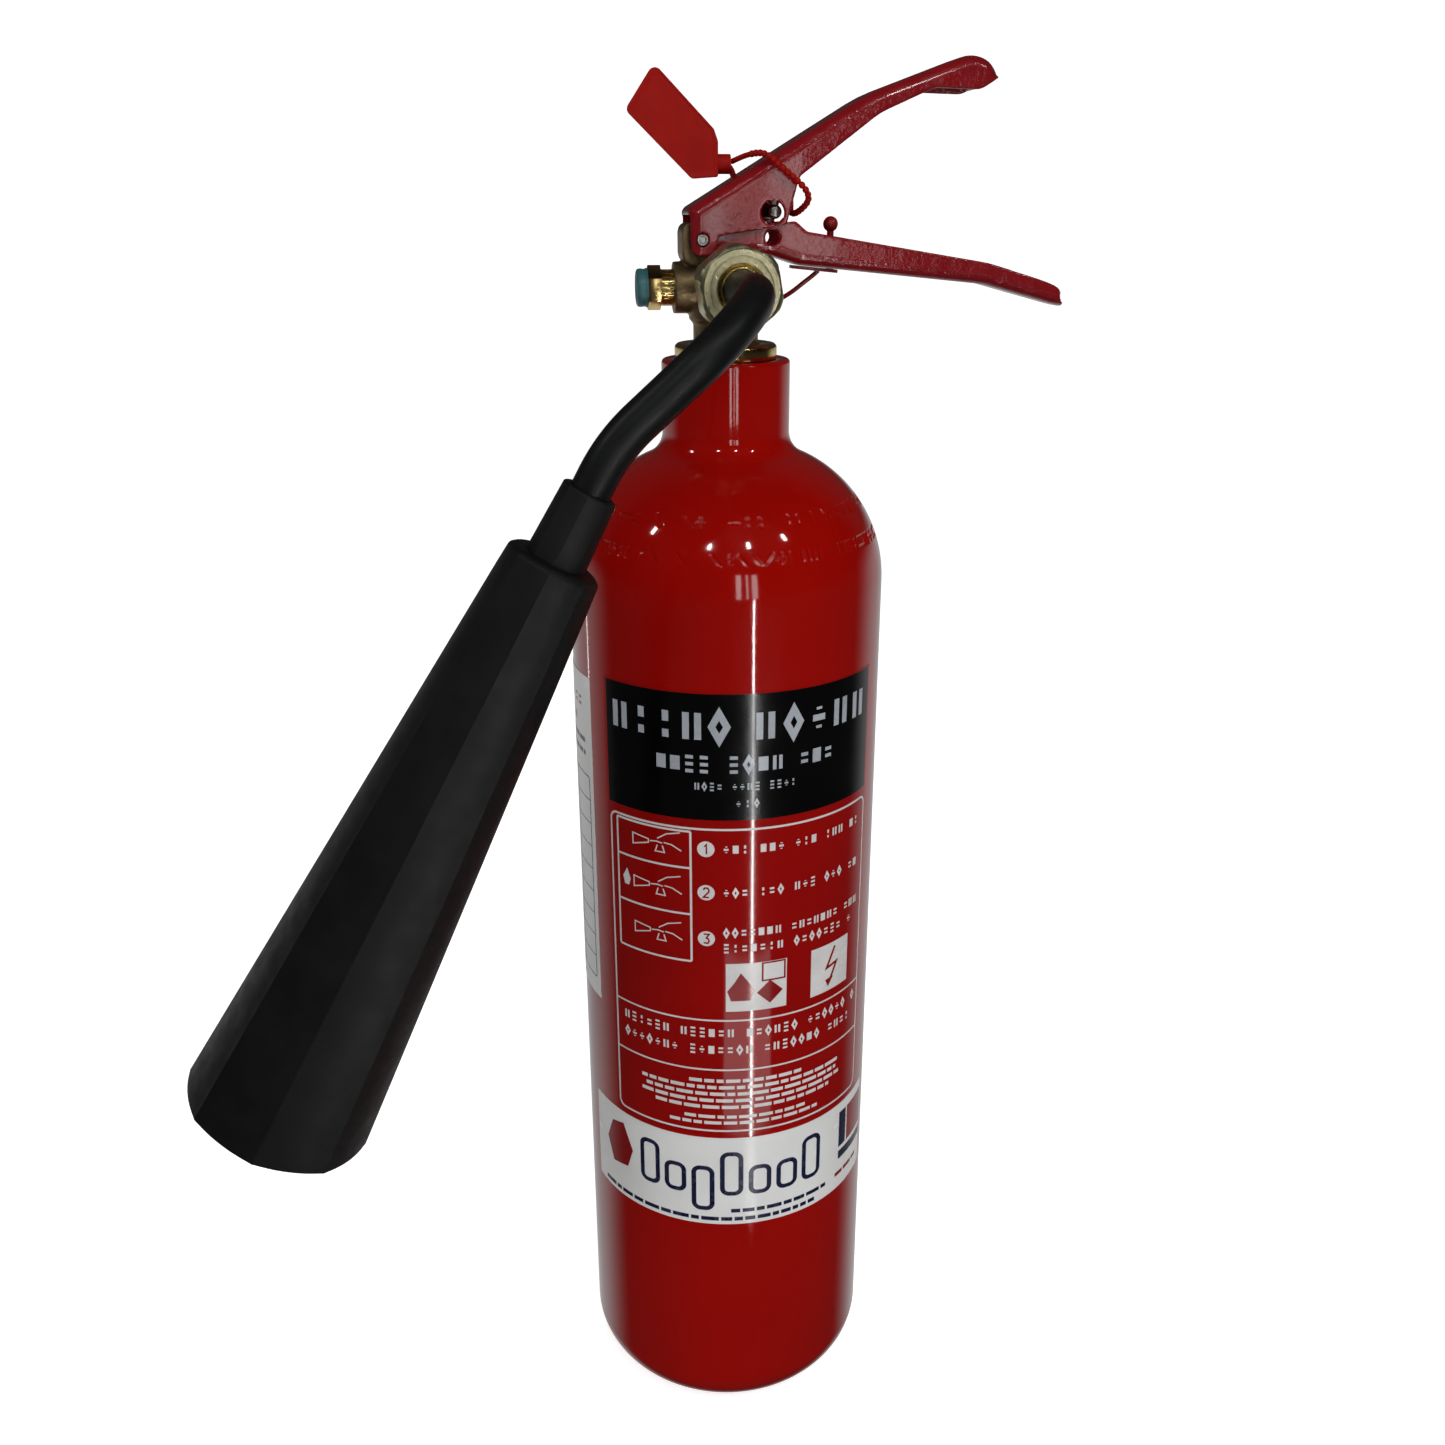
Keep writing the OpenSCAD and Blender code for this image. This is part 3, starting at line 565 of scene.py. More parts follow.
def make_cylinder():
    """The painted shell, with marks sunk into its shoulder. Its columns are close together in front."""
    shoulder_x, fillet_x, fillet_z, touch = shoulder_numbers()
    stamp_low = math.asin((STAMP_LOW_Z - SHOULDER_Z) / SHOULDER_R)
    stamp_high = math.asin((STAMP_HIGH_Z - SHOULDER_Z) / SHOULDER_R)
    outer = [(0, 0), (20, 0)]
    outer += arc(CYLINDER_R - BASE_EDGE_R, BASE_EDGE_R, BASE_EDGE_R, -pi / 2, 0, 16)
    outer += [(CYLINDER_R, z) for z in (80, 140, 200, 260, 310, 340)]
    outer += arc(shoulder_x, SHOULDER_Z, SHOULDER_R, 0, stamp_low, 8)[:-1]
    outer += arc(shoulder_x, SHOULDER_Z, SHOULDER_R, stamp_low, stamp_high, 96)
    outer += arc(shoulder_x, SHOULDER_Z, SHOULDER_R, stamp_high, touch, 10)[1:]
    outer += arc(fillet_x, fillet_z, NECK_FILLET_R, touch + pi, pi, 10)[1:]
    outer += arc(NECK_R - 1.4, NECK_TOP - 1.4, 1.4, 0, pi / 2, 6)
    outer += [(NECK_BORE_R + 2.7, NECK_TOP), (NECK_BORE_R, NECK_TOP - 2.7), (NECK_BORE_R, NECK_TOP - 12)]
    fine = np.arange(FINE_FROM, FINE_TO, FINE_STEP)
    angles = np.concatenate([fine, np.linspace(FINE_TO, FINE_FROM + 360, 94)[:-1]])
    columns = len(angles)
    profile = np.array(outer)
    radius = np.repeat(profile[:, :1], columns, 1)
    z = np.repeat(profile[:, 1:], columns, 1)
    angle = np.repeat(angles[None], len(profile), 0)
    stamped = (z > STAMP_LOW_Z) & (z < STAMP_HIGH_Z) & (angle < 90)
    depth = np.zeros_like(z)
    depth[stamped] = stamp_depth(angle[stamped], z[stamped], radius[stamped], stamp_strokes())
    tilt = np.arctan2(z - SHOULDER_Z, radius - shoulder_x)
    radius = radius - depth * np.cos(tilt)
    z = z - depth * np.sin(tilt)
    turn = np.radians(angle)
    points = np.stack([radius * np.sin(turn), -radius * np.cos(turn), z], -1).reshape(-1, 3)
    faces = []
    for row in range(len(profile) - 1):
        a, b = row * columns, (row + 1) * columns
        for k in range(columns):
            n = (k + 1) % columns
            faces.append((a + k, a + n, b + n, b + k) if row else (0, b + n, b + k))
    piece("cylinder_shell", (points.tolist(), faces), PAINT, FIXED, ["cylinder"], 50)


# ---- labels and their print ----

# the longest step in degrees that a flat shape may take round the cylinder
CURVE_STEP = 2.2


class Print:
    """Flat shapes laid on the cylinder: points are (angle in degrees, height)."""

    def __init__(self, layer, thick):
        self.radius = CYLINDER_R + layer
        self.thick = thick
        self.points = []
        self.faces = []

    def add(self, corners):
        start = len(self.points)
        self.points += [tuple(c) for c in corners]
        self.faces.append(tuple(range(start, start + len(corners))))

    def bar(self, a0, a1, z0, z1):
        """A rectangle, cut into strips so that it follows the curve."""
        n = max(1, math.ceil((a1 - a0) / CURVE_STEP))
        for i in range(n):
            left, right = a0 + (a1 - a0) * i / n, a0 + (a1 - a0) * (i + 1) / n
            self.add([(left, z0), (right, z0), (right, z1), (left, z1)])

    def disc(self, a, z, r):
        sides = 28
        rim = [(a + r * cos(TAU * k / sides), z + r * sin(TAU * k / sides)) for k in range(sides)]
        for k in range(sides):
            self.add([(a, z), rim[k], rim[(k + 1) % sides]])

    def patch(self, corners):
        """A small convex shape, as a fan round its middle."""
        middle = tuple(np.mean(np.array(corners), 0))
        for first, second in zip(corners, corners[1:] + corners[:1]):
            self.triangle(middle, first, second)

    def triangle(self, a, b, c):
        """A triangle, halved across its longest side until it follows the curve."""
        sides = [(math.dist(a, b), a, b, c), (math.dist(b, c), b, c, a), (math.dist(c, a), c, a, b)]
        longest, p, q, r = max(sides)
        if longest < 2.4:
            self.add([p, q, r])
            return
        half = ((p[0] + q[0]) / 2, (p[1] + q[1]) / 2)
        self.triangle(p, half, r)
        self.triangle(half, q, r)

    def line(self, route, thick, closed=False):
        """A stroke with mitred corners, cut into short pieces."""
        p = [np.array(q, float) for q in route]
        n = len(p)
        sides = []
        for i in range(n):
            before = p[i] - p[i - 1] if closed or i else p[1] - p[0]
            after = p[(i + 1) % n] - p[i] if closed or i < n - 1 else before
            u, v = unit(before), unit(after)
            across = unit(np.array([-u[1] - v[1], u[0] + v[0]]))
            wide = thick / 2 / max(0.4, float(across @ np.array([-u[1], u[0]])))
            sides.append((p[i] + across * wide, p[i] - across * wide))
        for i in range(n if closed else n - 1):
            (l0, r0), (l1, r1) = sides[i], sides[(i + 1) % n]
            cuts = max(1, math.ceil(abs(l1[0] - l0[0]) / CURVE_STEP))
            for c in range(cuts):
                s, t = c / cuts, (c + 1) / cuts
                self.add([r0 + (r1 - r0) * s, r0 + (r1 - r0) * t, l0 + (l1 - l0) * t, l0 + (l1 - l0) * s])

    def glyphs(self, a0, a1, z, height, thick, seed, gap=0.35, word=0):
        """A row of made-up marks that stand where the object has lettering. gap is a share of their height,
        and word leaves a space after every so many."""
        chance = random.Random(seed)
        wide = height * 0.62
        pitch = wide + height * gap
        count = max(1, int((a1 - a0 + height * gap) / pitch))
        pitch = (a1 - a0 + height * gap) / count
        for i in range(count):
            if word and i % word == word - 1:
                continue
            left = a0 + i * pitch + thick / 2
            for stroke in chance.choice(GLYPHS):
                self.line([(left + x * (wide - thick), z - height / 2 + thick / 2 + y * (height - thick))
                           for x, y in stroke], thick, len(stroke) > 2)

    def words(self, a0, a1, z, height, seed):
        """A row of short bars, one for each word of small print."""
        chance = random.Random(seed)
        at = a0
        while at < a1:
            end = min(a1, at + chance.uniform(2.5, 7))
            if end - at > 1:
                self.bar(at, end, z - height / 2, z + height / 2)
            at = end + 0.9

    def make(self, name, material, nodes=()):
        """The closed, thin piece that these shapes make."""
        points = []
        for a, z in self.points:
            t = radians(a)
            points.append((self.radius * sin(t), -self.radius * cos(t), z))
        mesh = new_mesh(name, points, self.faces)
        with editing(mesh) as work:
            bmesh.ops.remove_doubles(work, verts=work.verts, dist=0.01 * MM)
            work.normal_update()
            for face in work.faces:
                if face.normal.xy.dot(face.calc_center_median().xy) < 0:
                    face.normal_flip()
        obj = add_object(name, mesh)
        solid = obj.modifiers.new("thickness", "SOLIDIFY")
        solid.thickness = self.thick * MM
        solid.offset = 1
        apply_modifiers(obj)
        return dress(obj, material, FIXED, nodes, 30)


# made-up marks in a unit box: bars, posts and dots, each of two points, and a closed diamond
GLYPHS = (
    (((0, 0), (1, 0)), ((0, 0.5), (1, 0.5)), ((0, 1), (1, 1))),
    (((0.1, 0), (0.1, 1)), ((0.9, 0), (0.9, 1))),
    (((0.5, 0), (1, 0.5), (0.5, 1), (0, 0.5)),),
    (((0, 0.5), (1, 0.5)), ((0.5, 0.1), (0.5, 0.2)), ((0.5, 0.8), (0.5, 0.9))),
    (((0.5, 0), (0.5, 0.3)), ((0.5, 0.6), (0.5, 1))),
    (((0, 0.25), (1, 0.25)), ((0, 0.75), (1, 0.75))),
    (((0.1, 0), (0.1, 1)), ((0.5, 0), (0.5, 1)), ((0.9, 0), (0.9, 1))))
DIGITS = {
    1: ((0.25, 0.75), (0.6, 1), (0.6, 0)),
    2: ((0, 0.8), (0.25, 1), (0.75, 1), (1, 0.8), (1, 0.6), (0, 0), (1, 0)),
    3: ((0, 1), (1, 1), (0.5, 0.56), (0.85, 0.5), (1, 0.25), (0.75, 0), (0, 0.05))}


def frame_line(sheet, a0, a1, z0, z1, r, thick):
    """A frame with corners of a radius."""
    sheet.line(rounded([(a0, z0, r), (a1, z0, r), (a1, z1, r), (a0, z1, r)], True), thick, True)


def drawn(a, z, size, *route):
    """Points of a unit drawing, at a place on the label and of a size."""
    return [(a + x * size, z + y * size) for x, y in route]


def pictogram(sheet, a, z, size, flame):
    """A small drawing of a hand extinguisher's valve, horn and handles."""
    horn = drawn(a, z, size, (-0.5, 0.10), (-0.5, -0.12), (-0.16, -0.02), (-0.16, 0.05))
    sheet.line(horn, 0.45, True)
    hose = ((-0.13, 0.02), (0, 0.04), (0.12, 0.02))
    lever = ((0.02, 0.10), (0.20, 0.22), (0.46, 0.28))
    handle = ((0.15, 0.04), (0.30, 0.02), (0.48, -0.08))
    neck = ((0.02, -0.03), (-0.02, -0.16), (0.16, -0.16), (0.12, -0.03))
    for route in (hose, lever, handle, neck):
        sheet.line(drawn(a, z, size, *route), 0.45)
    if flame:
        sheet.patch(drawn(a, z, size, (-0.72, -0.14), (-0.62, -0.14), (-0.58, 0), (-0.66, 0.20),
                          (-0.76, 0.02)))


def label_film(node, material, area):
    """The plain sticker under a label's print."""
    base = Print(0, LABEL_T)
    base.bar(*area)
    base.make(node + "_film", material, [node])


# heights of the three steps on the front label, with their numbers
STEP_ROWS = ((266.5, 1), (249, 2), (230, 3))


def make_front_label():
    label_film("front_label", LABEL_RED, (-56, 56, LABEL_LOW, LABEL_HIGH))

    panel = Print(LABEL_T, PRINT_T)
    panel.bar(-55, 55, 278, 325.6)
    panel.make("title_panel", PRINT_BLACK)

    title = Print(LABEL_T + PRINT_T, PRINT_T)
    title.glyphs(-52, -6, 313.6, 12.4, 2.4, 3, 0.12)
    title.glyphs(2, 52, 313.6, 12.4, 2.4, 8, 0.12)
    title.glyphs(-33, 33, 299.4, 6.6, 1.3, 2, 0.16, word=5)
    title.glyphs(-19, 20, 291, 3.2, 0.62, 4, 0.18, word=5)
    title.glyphs(-4.5, 4.5, 284.4, 3.2, 0.62, 9, 0.2)
    title.make("title_marks", PRINT_GREY)

    white = Print(LABEL_T, PRINT_T)
    frame_line(white, -54.3, 54.8, 145, 274.3, 3, 0.8)
    frame_line(white, -51, -20.5, 220, 273, 0.6, 0.8)
    for z in (258.4, 239.6):
        white.bar(-51, -20.5, z - 0.4, z + 0.4)
    for z, step in STEP_ROWS:
        pictogram(white, -33.5, z, 20, step == 2)
        white.disc(-15, z, 3.1)
    for k, (z, end, word) in enumerate(((266.5, 50, 4), (249, 50, 4), (232.5, 51, 8), (226, 47, 8))):
        white.glyphs(-9, end, z, 3.9, 0.75, 11 + k, 0.2, word)
    white.bar(-8, 15, 199, 219.5)
    white.bar(25.5, 45.5, 199, 219.5)
    for z in (195, 173):
        white.bar(-54, 54.4, z - 0.35, z + 0.35)
    white.glyphs(-50, 52, 189.5, 4.2, 0.8, 15, 0.2, word=7)
    white.glyphs(-50, 48, 182, 4.2, 0.8, 16, 0.2, word=8)
    for k, (z, half) in enumerate(((168, 22), (165, 42), (162, 40), (159, 42), (156, 36))):
        white.words(-half, half, z, 1.5, 30 + k)
    for k, (z, half) in enumerate(((151.5, 24), (148.7, 30))):
        white.words(-half, half, z, 1.4, 40 + k)
    white.make("front_label_print", PRINT_WHITE)

    red = Print(LABEL_T + PRINT_T, PRINT_T)
    for z, step in STEP_ROWS:
        red.line([(-16 + 2 * x, z - 1.9 + 3.8 * y) for x, y in DIGITS[step]], 0.62)
    red.patch(drawn(-2.5, 209.5, 12, (-0.30, -0.5), (0.30, -0.5), (0.42, -0.15), (0.22, 0.2), (0, 0.5),
                    (-0.2, 0.15), (-0.42, -0.15)))
    red.patch([(8.5, 201.5), (13.5, 206.5), (8.5, 211.5), (3.5, 206.5)])
    frame_line(red, 5.6, 14.2, 211.5, 219, 0, 0.7)
    red.line([(37.5, 217.5), (33.2, 209.2), (38.6, 210.4), (34.8, 202.8)], 1.1)
    red.patch([(32.6, 204.2), (36.9, 204.6), (34.2, 200.8)])
    red.make("front_label_symbols", PRINT_RED)


def make_band_label():
    label_film("band_label", LABEL_WHITE, (-72.5, 65, BAND_LOW, BAND_HIGH))

    navy = Print(LABEL_T, PRINT_T)
    for k, (tall, dropped) in enumerate(((1, 0), (0, 0), (0, 1), (1, 0), (0, 0), (0, 0), (1, 0))):
        left = -43 + 11.2 * k
        top = 134 if tall else 127
        bottom = 107.5 if dropped else 115
        frame_line(navy, left, left + 7.2, bottom, top, 2.6, 1.9)
    navy.words(-6, 36, 106.6, 1.8, 51)
    navy.words(-66, 30, 102.6, 1.8, 52)
    navy.bar(44, 64.5, 114, 118)
    navy.bar(44, 49, 120, 137)
    navy.make("band_label_marks", PRINT_NAVY)

    red = Print(LABEL_T, PRINT_T)
    red.patch([(-60, 114), (-51, 116), (-48, 125), (-53, 136), (-60, 134), (-64, 124)])
    red.bar(50, 64.5, 120, 137)
    red.words(42, 62, 107, 1.8, 53)
    red.make("band_label_emblems", PRINT_RED)


def make_service_label():
    left, right, low_z, high_z = -150, -66, 188, 322
    label_film("service_label", LABEL_WHITE, (left, right, low_z, high_z))

    lines = Print(LABEL_T, PRINT_T)
    rows, table_low, table_high = 9, low_z + 8, 282
    frame_line(lines, left + 3, right - 3, table_low, table_high, 0.8, 0.5)
    for k in range(1, rows):
        z = table_low + (table_high - table_low) * k / rows
        lines.bar(left + 3.3, right - 3.3, z - 0.2, z + 0.2)
    for a in (-128, -104, -84):
        for k in range(rows):
            z = table_low + 0.5 + (table_high - table_low) * k / rows
            lines.bar(a - 0.2, a + 0.2, z, z + 9.1)
    for k, z in enumerate((291, 296)):
        lines.words(left + 6, right - 6, z, 1.8, 60 + k)
    lines.make("service_label_lines", PRINT_NAVY)

    heading = Print(LABEL_T, PRINT_T)
    heading.glyphs(left + 6, right - 8, 311, 6, 1.1, 70, 0.2, word=6)
    heading.glyphs(left + 14, right - 16, 303, 4, 0.8, 71, 0.2, word=5)
    heading.make("service_label_heading", PRINT_RED)


# ---- valve ----

def hexagonal(half_flats, turn):
    """A section cut down to a hexagon with corners at a turn of some degrees."""
    def section(angle, radius):
        off = (angle - radians(turn)) % (TAU / 6) - TAU / 12
        return min(radius, half_flats / cos(off))
    return section


def make_nut():
    """The swivel nut: a hexagon with its corners turned down and a raised, turned face in front."""
    front, back = -low("swivel_nut").y, -high("swivel_nut").y
    profile = [(7.9, front - 0.4), (7.9, front - 4), (NUT_BORE_R, front - 4), (NUT_BORE_R, back + 0.3),
               (NUT_BORE_R + 0.3, back), (12.9, back), (14.3, back + 1.2), (14.3, front - 2.2),
               (13.7, front - 1.4), (12.95, front - 0.85), (12.75, front - 0.75), (12.75, front - 0.3),
               (12.45, front), (10.6, front), (10.5, front - 0.06), (10.3, front), (8.4, front)]
    nut = lathe(profile, 120, to_the_front((0, 0, OUTLET_Z)), hexagonal(13.25, -20), ring=True)
    piece("zinc_swivel_nut", nut, ZINC, FIXED, ["swivel_nut"], 22)


def make_valve():
    body = remeshed("valve_body", "cast_valve_body", 4)
    dress(body, CAST_BRASS, FIXED, ["valve_body"], 60)
    for node, name, width in (("neck_ring", "turned_neck_ring", 0.35), ("gland_nut", "hex_gland_nut", 0.25),
                              ("relief_plug", "grooved_relief_plug", 0.16)):
        bevelled(node, name, BRIGHT_BRASS, FIXED, width)
    make_nut()
    bevelled("swivel_spigot", "turned_spigot", BRIGHT_BRASS, "discharge_horn", 0.2)

    end, back = low("relief_cap").x, high("relief_cap").x
    # an uneven moulded cap: rolled rim, waist and dished end
    profile = [(r, end + x) for r, x in (
        (0, 0.5), (3.6, 0.5), (4.4, 0.15), (5.2, 0), (5.9, 0.2), (6.35, 0.7), (6.45, 1.6), (6.3, 2.6),
        (6.35, 3.2), (6.6, 3.4))]
    profile += [(6.6, back - 0.15), (6.45, back), (0, back)]
    piece("moulded_relief_cap", lathe(profile, 64, along_x(centre("relief_cap").z)), CAP_PLASTIC,
          FIXED, ["relief_cap"], 40)


# ---- tube and horn ----

def downward(angle):
    """Direction that leans from straight down by an angle."""
    return Vector((-sin(radians(angle)), 0, -cos(radians(angle))))


BEND_CORNER = Vector((0, -HORN_Y, OUTLET_Z)) + TUBE_REACH * downward(TUBE_ANGLE)


def bend(start, ahead, aside, r, turn):
    """Points on a bend that leaves its start straight ahead and turns aside by an angle."""
    steps = 30
    angles = [turn * k / steps for k in range(steps + 1)]
    return [start + r * (sin(a) * ahead + (1 - cos(a)) * aside) for a in angles]


def tube_path():
    """The tube's centre line: out of the nut, round the upper bend, down, and round the lower bend."""
    front, first, last = Vector((0, -1, 0)), downward(TUBE_ANGLE), downward(HORN_ANGLE)
    turn = radians(TUBE_ANGLE - HORN_ANGLE)
    tangent = LOWER_BEND_R * math.tan(turn / 2)
    aside = (last - first * first.dot(last)).normalized()
    out = (HORN_Y - BEND_R - TUBE_START) / 6
    path = [Vector((0, -TUBE_START - k * out, OUTLET_Z)) for k in range(6)]
    path += bend(Vector((0, BEND_R - HORN_Y, OUTLET_Z)), front, first, BEND_R, pi / 2)
    path += bend(BEND_CORNER - tangent * first, first, aside, LOWER_BEND_R, turn)
    return path + [BEND_CORNER + TUBE_END * last]


def horn_place():
    """Placement with Z down the horn's axis from the lower bend's corner, and X towards -Y."""
    down = downward(HORN_ANGLE)
    front = Vector((0, -1, 0))
    side = down.cross(front)
    rows = Matrix((front, side, down)).transposed().to_4x4()
    return Matrix.Translation(BEND_CORNER) @ rows


FACETS = 8
FACET_STEPS = 14
RIDGE_AT = radians(6.5)
RIDGE_HALF_WIDE = 0.5


def facetted(flatness, ridge=0.0):
    """A round section whose sides are flattened between ridges that stand out a little."""
    def section(angle, radius):
        part = TAU / FACETS
        off = (angle % part) - part / 2
        flat = cos(part / 2) / cos(off)
        from_ridge = (part / 2 - abs(off)) * radius
        return radius * (1 - flatness * (1 - flat)) + ridge * math.exp(-(from_ridge / RIDGE_HALF_WIDE) ** 2)
    return section


def make_horn():
    piece("bent_tube", sweep(tube_path(), TUBE_R, 48), TUBE_BLACK, "discharge_horn", ["discharge_tube"])

    place = horn_place() @ Matrix.Rotation(RIDGE_AT, 4, "Z")
    sides = FACETS * FACET_STEPS
    tube_hole, bore, seat = TUBE_R + 0.03, 5.6, 9
    collar = rounded([(tube_hole, TUBE_END, 0), (tube_hole, COLLAR_TOP + 0.4, 0.3), (7, COLLAR_TOP, 0.3),
                      (8.6, COLLAR_TOP, 0.9), (9.6, CONE_TOP, 0), (seat, CONE_TOP, 0),
                      (seat, CONE_TOP + 6, 0), (bore, CONE_TOP + 6, 0), (bore, TUBE_END, 0)])
    piece("tapered_horn_collar", lathe(collar, sides, place, facetted(0.3), ring=True), HORN_BLACK,
          "discharge_horn", ["horn_collar"], 12)

    mouth = CONE_TOP + HORN_LEN
    inner = HORN_MOUTH_R - CONE_WALL
    stations = 24

    def cone(numbers, wall):
        return [(HORN_TOP_R - wall + (HORN_MOUTH_R - HORN_TOP_R) * k / stations,
                 CONE_TOP + HORN_LEN * k / stations, 0) for k in numbers]

    outline = [(seat + 0.05, CONE_TOP, 0), (HORN_TOP_R - 0.1, CONE_TOP, 2.4)]
    outline += cone(range(1, stations), 0)
    outline += [(HORN_MOUTH_R, mouth, 0.9), (inner, mouth, 0.9)]
    outline += cone(range(stations - 1, 0, -1), CONE_WALL)
    outline.append((seat + 0.05, CONE_TOP + 3, 0))
    piece("fluted_horn", lathe(rounded(outline), sides, place, facetted(0.34, 0.10), ring=True), HORN_BLACK,
          "discharge_horn", ["horn"], 20)


# ---- lever and handle ----

def nearest(line, points):
    """Distance of each point from a line, measured along the line's right-hand normal, and that normal."""
    best = np.full(len(points), 1e9)
    depth = np.zeros(len(points))
    normal = np.zeros((len(points), 2))
    for a, b in zip(line, line[1:]):
        d = b - a
        t = np.clip(((points - a) @ d) / (d @ d), 0, 1)
        away = points - (a + t[:, None] * d)
        dist = np.hypot(away[:, 0], away[:, 1])
        right = np.array([d[1], -d[0]]) / np.hypot(*d)
        closer = dist < best - 1e-9
        best[closer] = dist[closer]
        depth[closer] = (away @ right)[closer]
        normal[closer] = right
    return depth, normal


def pressed(node, name, skin, plan, body, inward, nose=None):
    """A pressed sheet part: the CAD node's shape with the bends between its web and its cheeks rounded.
    skin is its outline from the side, plan is half its outline from above, inward is the side of the skin
    that the sheet lies on, and nose is where its sides start and end to run down to the web."""
    obj = remeshed(node, name, 3)
    count = len(obj.data.vertices)
    co = np.zeros(count * 3)
    obj.data.vertices.foreach_get("co", co)
    co = co.reshape(-1, 3) / MM
    depth, skin_normal = nearest(np.array(rounded(skin)), co[:, [0, 2]])
    depth, skin_normal = depth * inward, skin_normal * inward
    if nose:
        start, end = nose
        share = np.clip((co[:, 0] - start) / (end - start), 0, 1)
        limit = SHEET_T + 9 * (1 - share ** 2) ** 0.8
        rise, web_normal = nearest(np.array(rounded(skin[:-1])), co[:, [0, 2]])
        rise = np.maximum(rise * inward, 0)
        lower = np.where(share > 0, rise / (1 + (rise / limit) ** 6) ** (1 / 6), rise)
        co[:, [0, 2]] += inward * web_normal * (lower - rise)[:, None]
        depth = np.minimum(depth, np.maximum(lower, 0.01))
    half = np.stack([co[:, 0], np.abs(co[:, 1])], 1)
    side, plan_normal = nearest(np.array(rounded(plan)), half)
    a, b = SHEET_BEND_R - depth, SHEET_BEND_R - side
    reach = np.hypot(a, b)
    out = (a > 0) & (b > 0) & (reach > SHEET_BEND_R)
    shrink = np.where(out, SHEET_BEND_R / np.maximum(reach, 1e-9), 1)
    move_skin = np.where(out, a * (1 - shrink), 0)
    move_side = np.where(out, b * (1 - shrink), 0)
    co[:, 0] += skin_normal[:, 0] * move_skin + plan_normal[:, 0] * move_side
    co[:, 2] += skin_normal[:, 1] * move_skin
    co[:, 1] += np.sign(co[:, 1]) * plan_normal[:, 1] * move_side
    obj.data.vertices.foreach_set("co", (co * MM).reshape(-1))
    obj.data.update()
    dress(obj, HANDLE_PAINT, body, [node], 60)


def make_handles():
    pressed("squeeze_lever", "pressed_lever", LEVER_SKIN, LEVER_PLAN, "lever", 1)
    pressed("carry_handle", "pressed_handle", HANDLE_SKIN, HANDLE_PLAN, FIXED, -1, (100, 123))

    # the pivot: a hollow-ended rivet
    end = high("pivot_pin").y
    r = high("pivot_pin").x - PIVOT_X
    half_profile = [(0, end - 0.9), (1.0, end - 0.9), (1.05, end - 0.25), (1.25, end - 0.02),
                    (r - 0.3, end), (r, end - 0.35)]
    profile = half_profile + [(p, -h) for p, h in reversed(half_profile)]
    piece("riveted_pivot", lathe(profile, 48, along_y(PIVOT_X, PIVOT_Z)), STEEL, FIXED, ["pivot_pin"])


# ---- safety pin ----

def make_pin():
    tip, back = low("safety_pin").y, high("safety_pin").y
    r = high("safety_pin").x - PIN_X
    profile = [(0, tip), (r - 0.9, tip + 0.05), (r - 0.25, tip + 0.5), (r, tip + 1.1), (r, back - 0.3),
               (r - 0.3, back), (0, back)]
    piece("turned_safety_pin", lathe(profile, 48, along_y(PIN_X, PIN_Z)), STEEL, "pin", ["safety_pin"])

    wire = high("pin_loop").x - PIN_X
    near, far = low("pin_loop").y + wire, high("pin_loop").y - wire
    half = high("pin_loop").z - PIN_Z - wire
    path = []
    steps = 24
    for middle, r in ((far - half, half), (near + half, -half)):
        for k in range(steps + 1):
            a = pi * k / steps
            path.append(Vector((PIN_X, middle + r * sin(a), PIN_Z + r * cos(a))))
    piece("wire_pin_loop", sweep(path, wire, 24, closed=True), STEEL, "pin", ["pin_loop"])

    eye_r, bar_r, around = 2.5, 0.7, 16
    ring = [(eye_r + bar_r * cos(TAU * k / around), bar_r * sin(TAU * k / around)) for k in range(around)]
    piece("moulded_tether_eye", lathe(ring, 40, to_the_front(centre("tether_eye")), ring=True),
          TETHER_PLASTIC, "pin", ["tether_eye"])
    bevelled("tether_anchor", "moulded_tether_anchor", TETHER_PLASTIC, FIXED, 0.2)


# ---- tamper seal ----

def make_seal():
    outline = rounded(TAG_SIDE, True)
    near, far = low("seal_tag").y, high("seal_tag").y
    middle = np.mean(outline, 0)
    count = len(outline)
    # rings from the middle of one face, over the rounded edge, to the middle of the other
    rings = ((0.86, 0.22), (0.90, 0.20), (0.925, 0.02), (0.985, 0.0), (1.0, 0.35))
    points, faces = [], []
    levels = [(s, near + d) for s, d in rings] + [(s, far - d) for s, d in reversed(rings)]
    for share, y in levels:
        for p in outline:
            q = middle + (p - middle) * share
            points.append((q[0], y, q[1]))
    for row in range(len(levels) - 1):
        for k in range(count):
            n = (k + 1) % count
            a, b = row * count, (row + 1) * count
            faces.append((a + k, b + k, b + n, a + n))
    last = (len(levels) - 1) * count
    faces.append(tuple(range(count)))
    faces.append(tuple(last + k for k in reversed(range(count))))
    tag = piece("moulded_seal_tag", (points, faces), SEAL_PLASTIC, "lever", ["seal_tag"], 30)
    with editing(tag.data) as work:
        bmesh.ops.recalc_face_normals(work, faces=work.faces)
    bevelled("seal_head", "moulded_seal_head", SEAL_PLASTIC, "lever", 0.45, 3)

    gap, bead, plain_end = 0.3, 2.1, 9

    def strap_radius(i):
        if i < round(plain_end / gap):
            return 0.9
        return 0.6 + 0.55 * abs(sin(pi * i * gap / bead)) ** 0.7

    strap = sweep(even_path(smooth_path(STRAP_ROUTE, 8), gap), strap_radius, 14)
    piece("beaded_seal_strap", strap, SEAL_PLASTIC, "lever", ["seal_strap"], 50)


# ---- the CAD nodes that stay ----

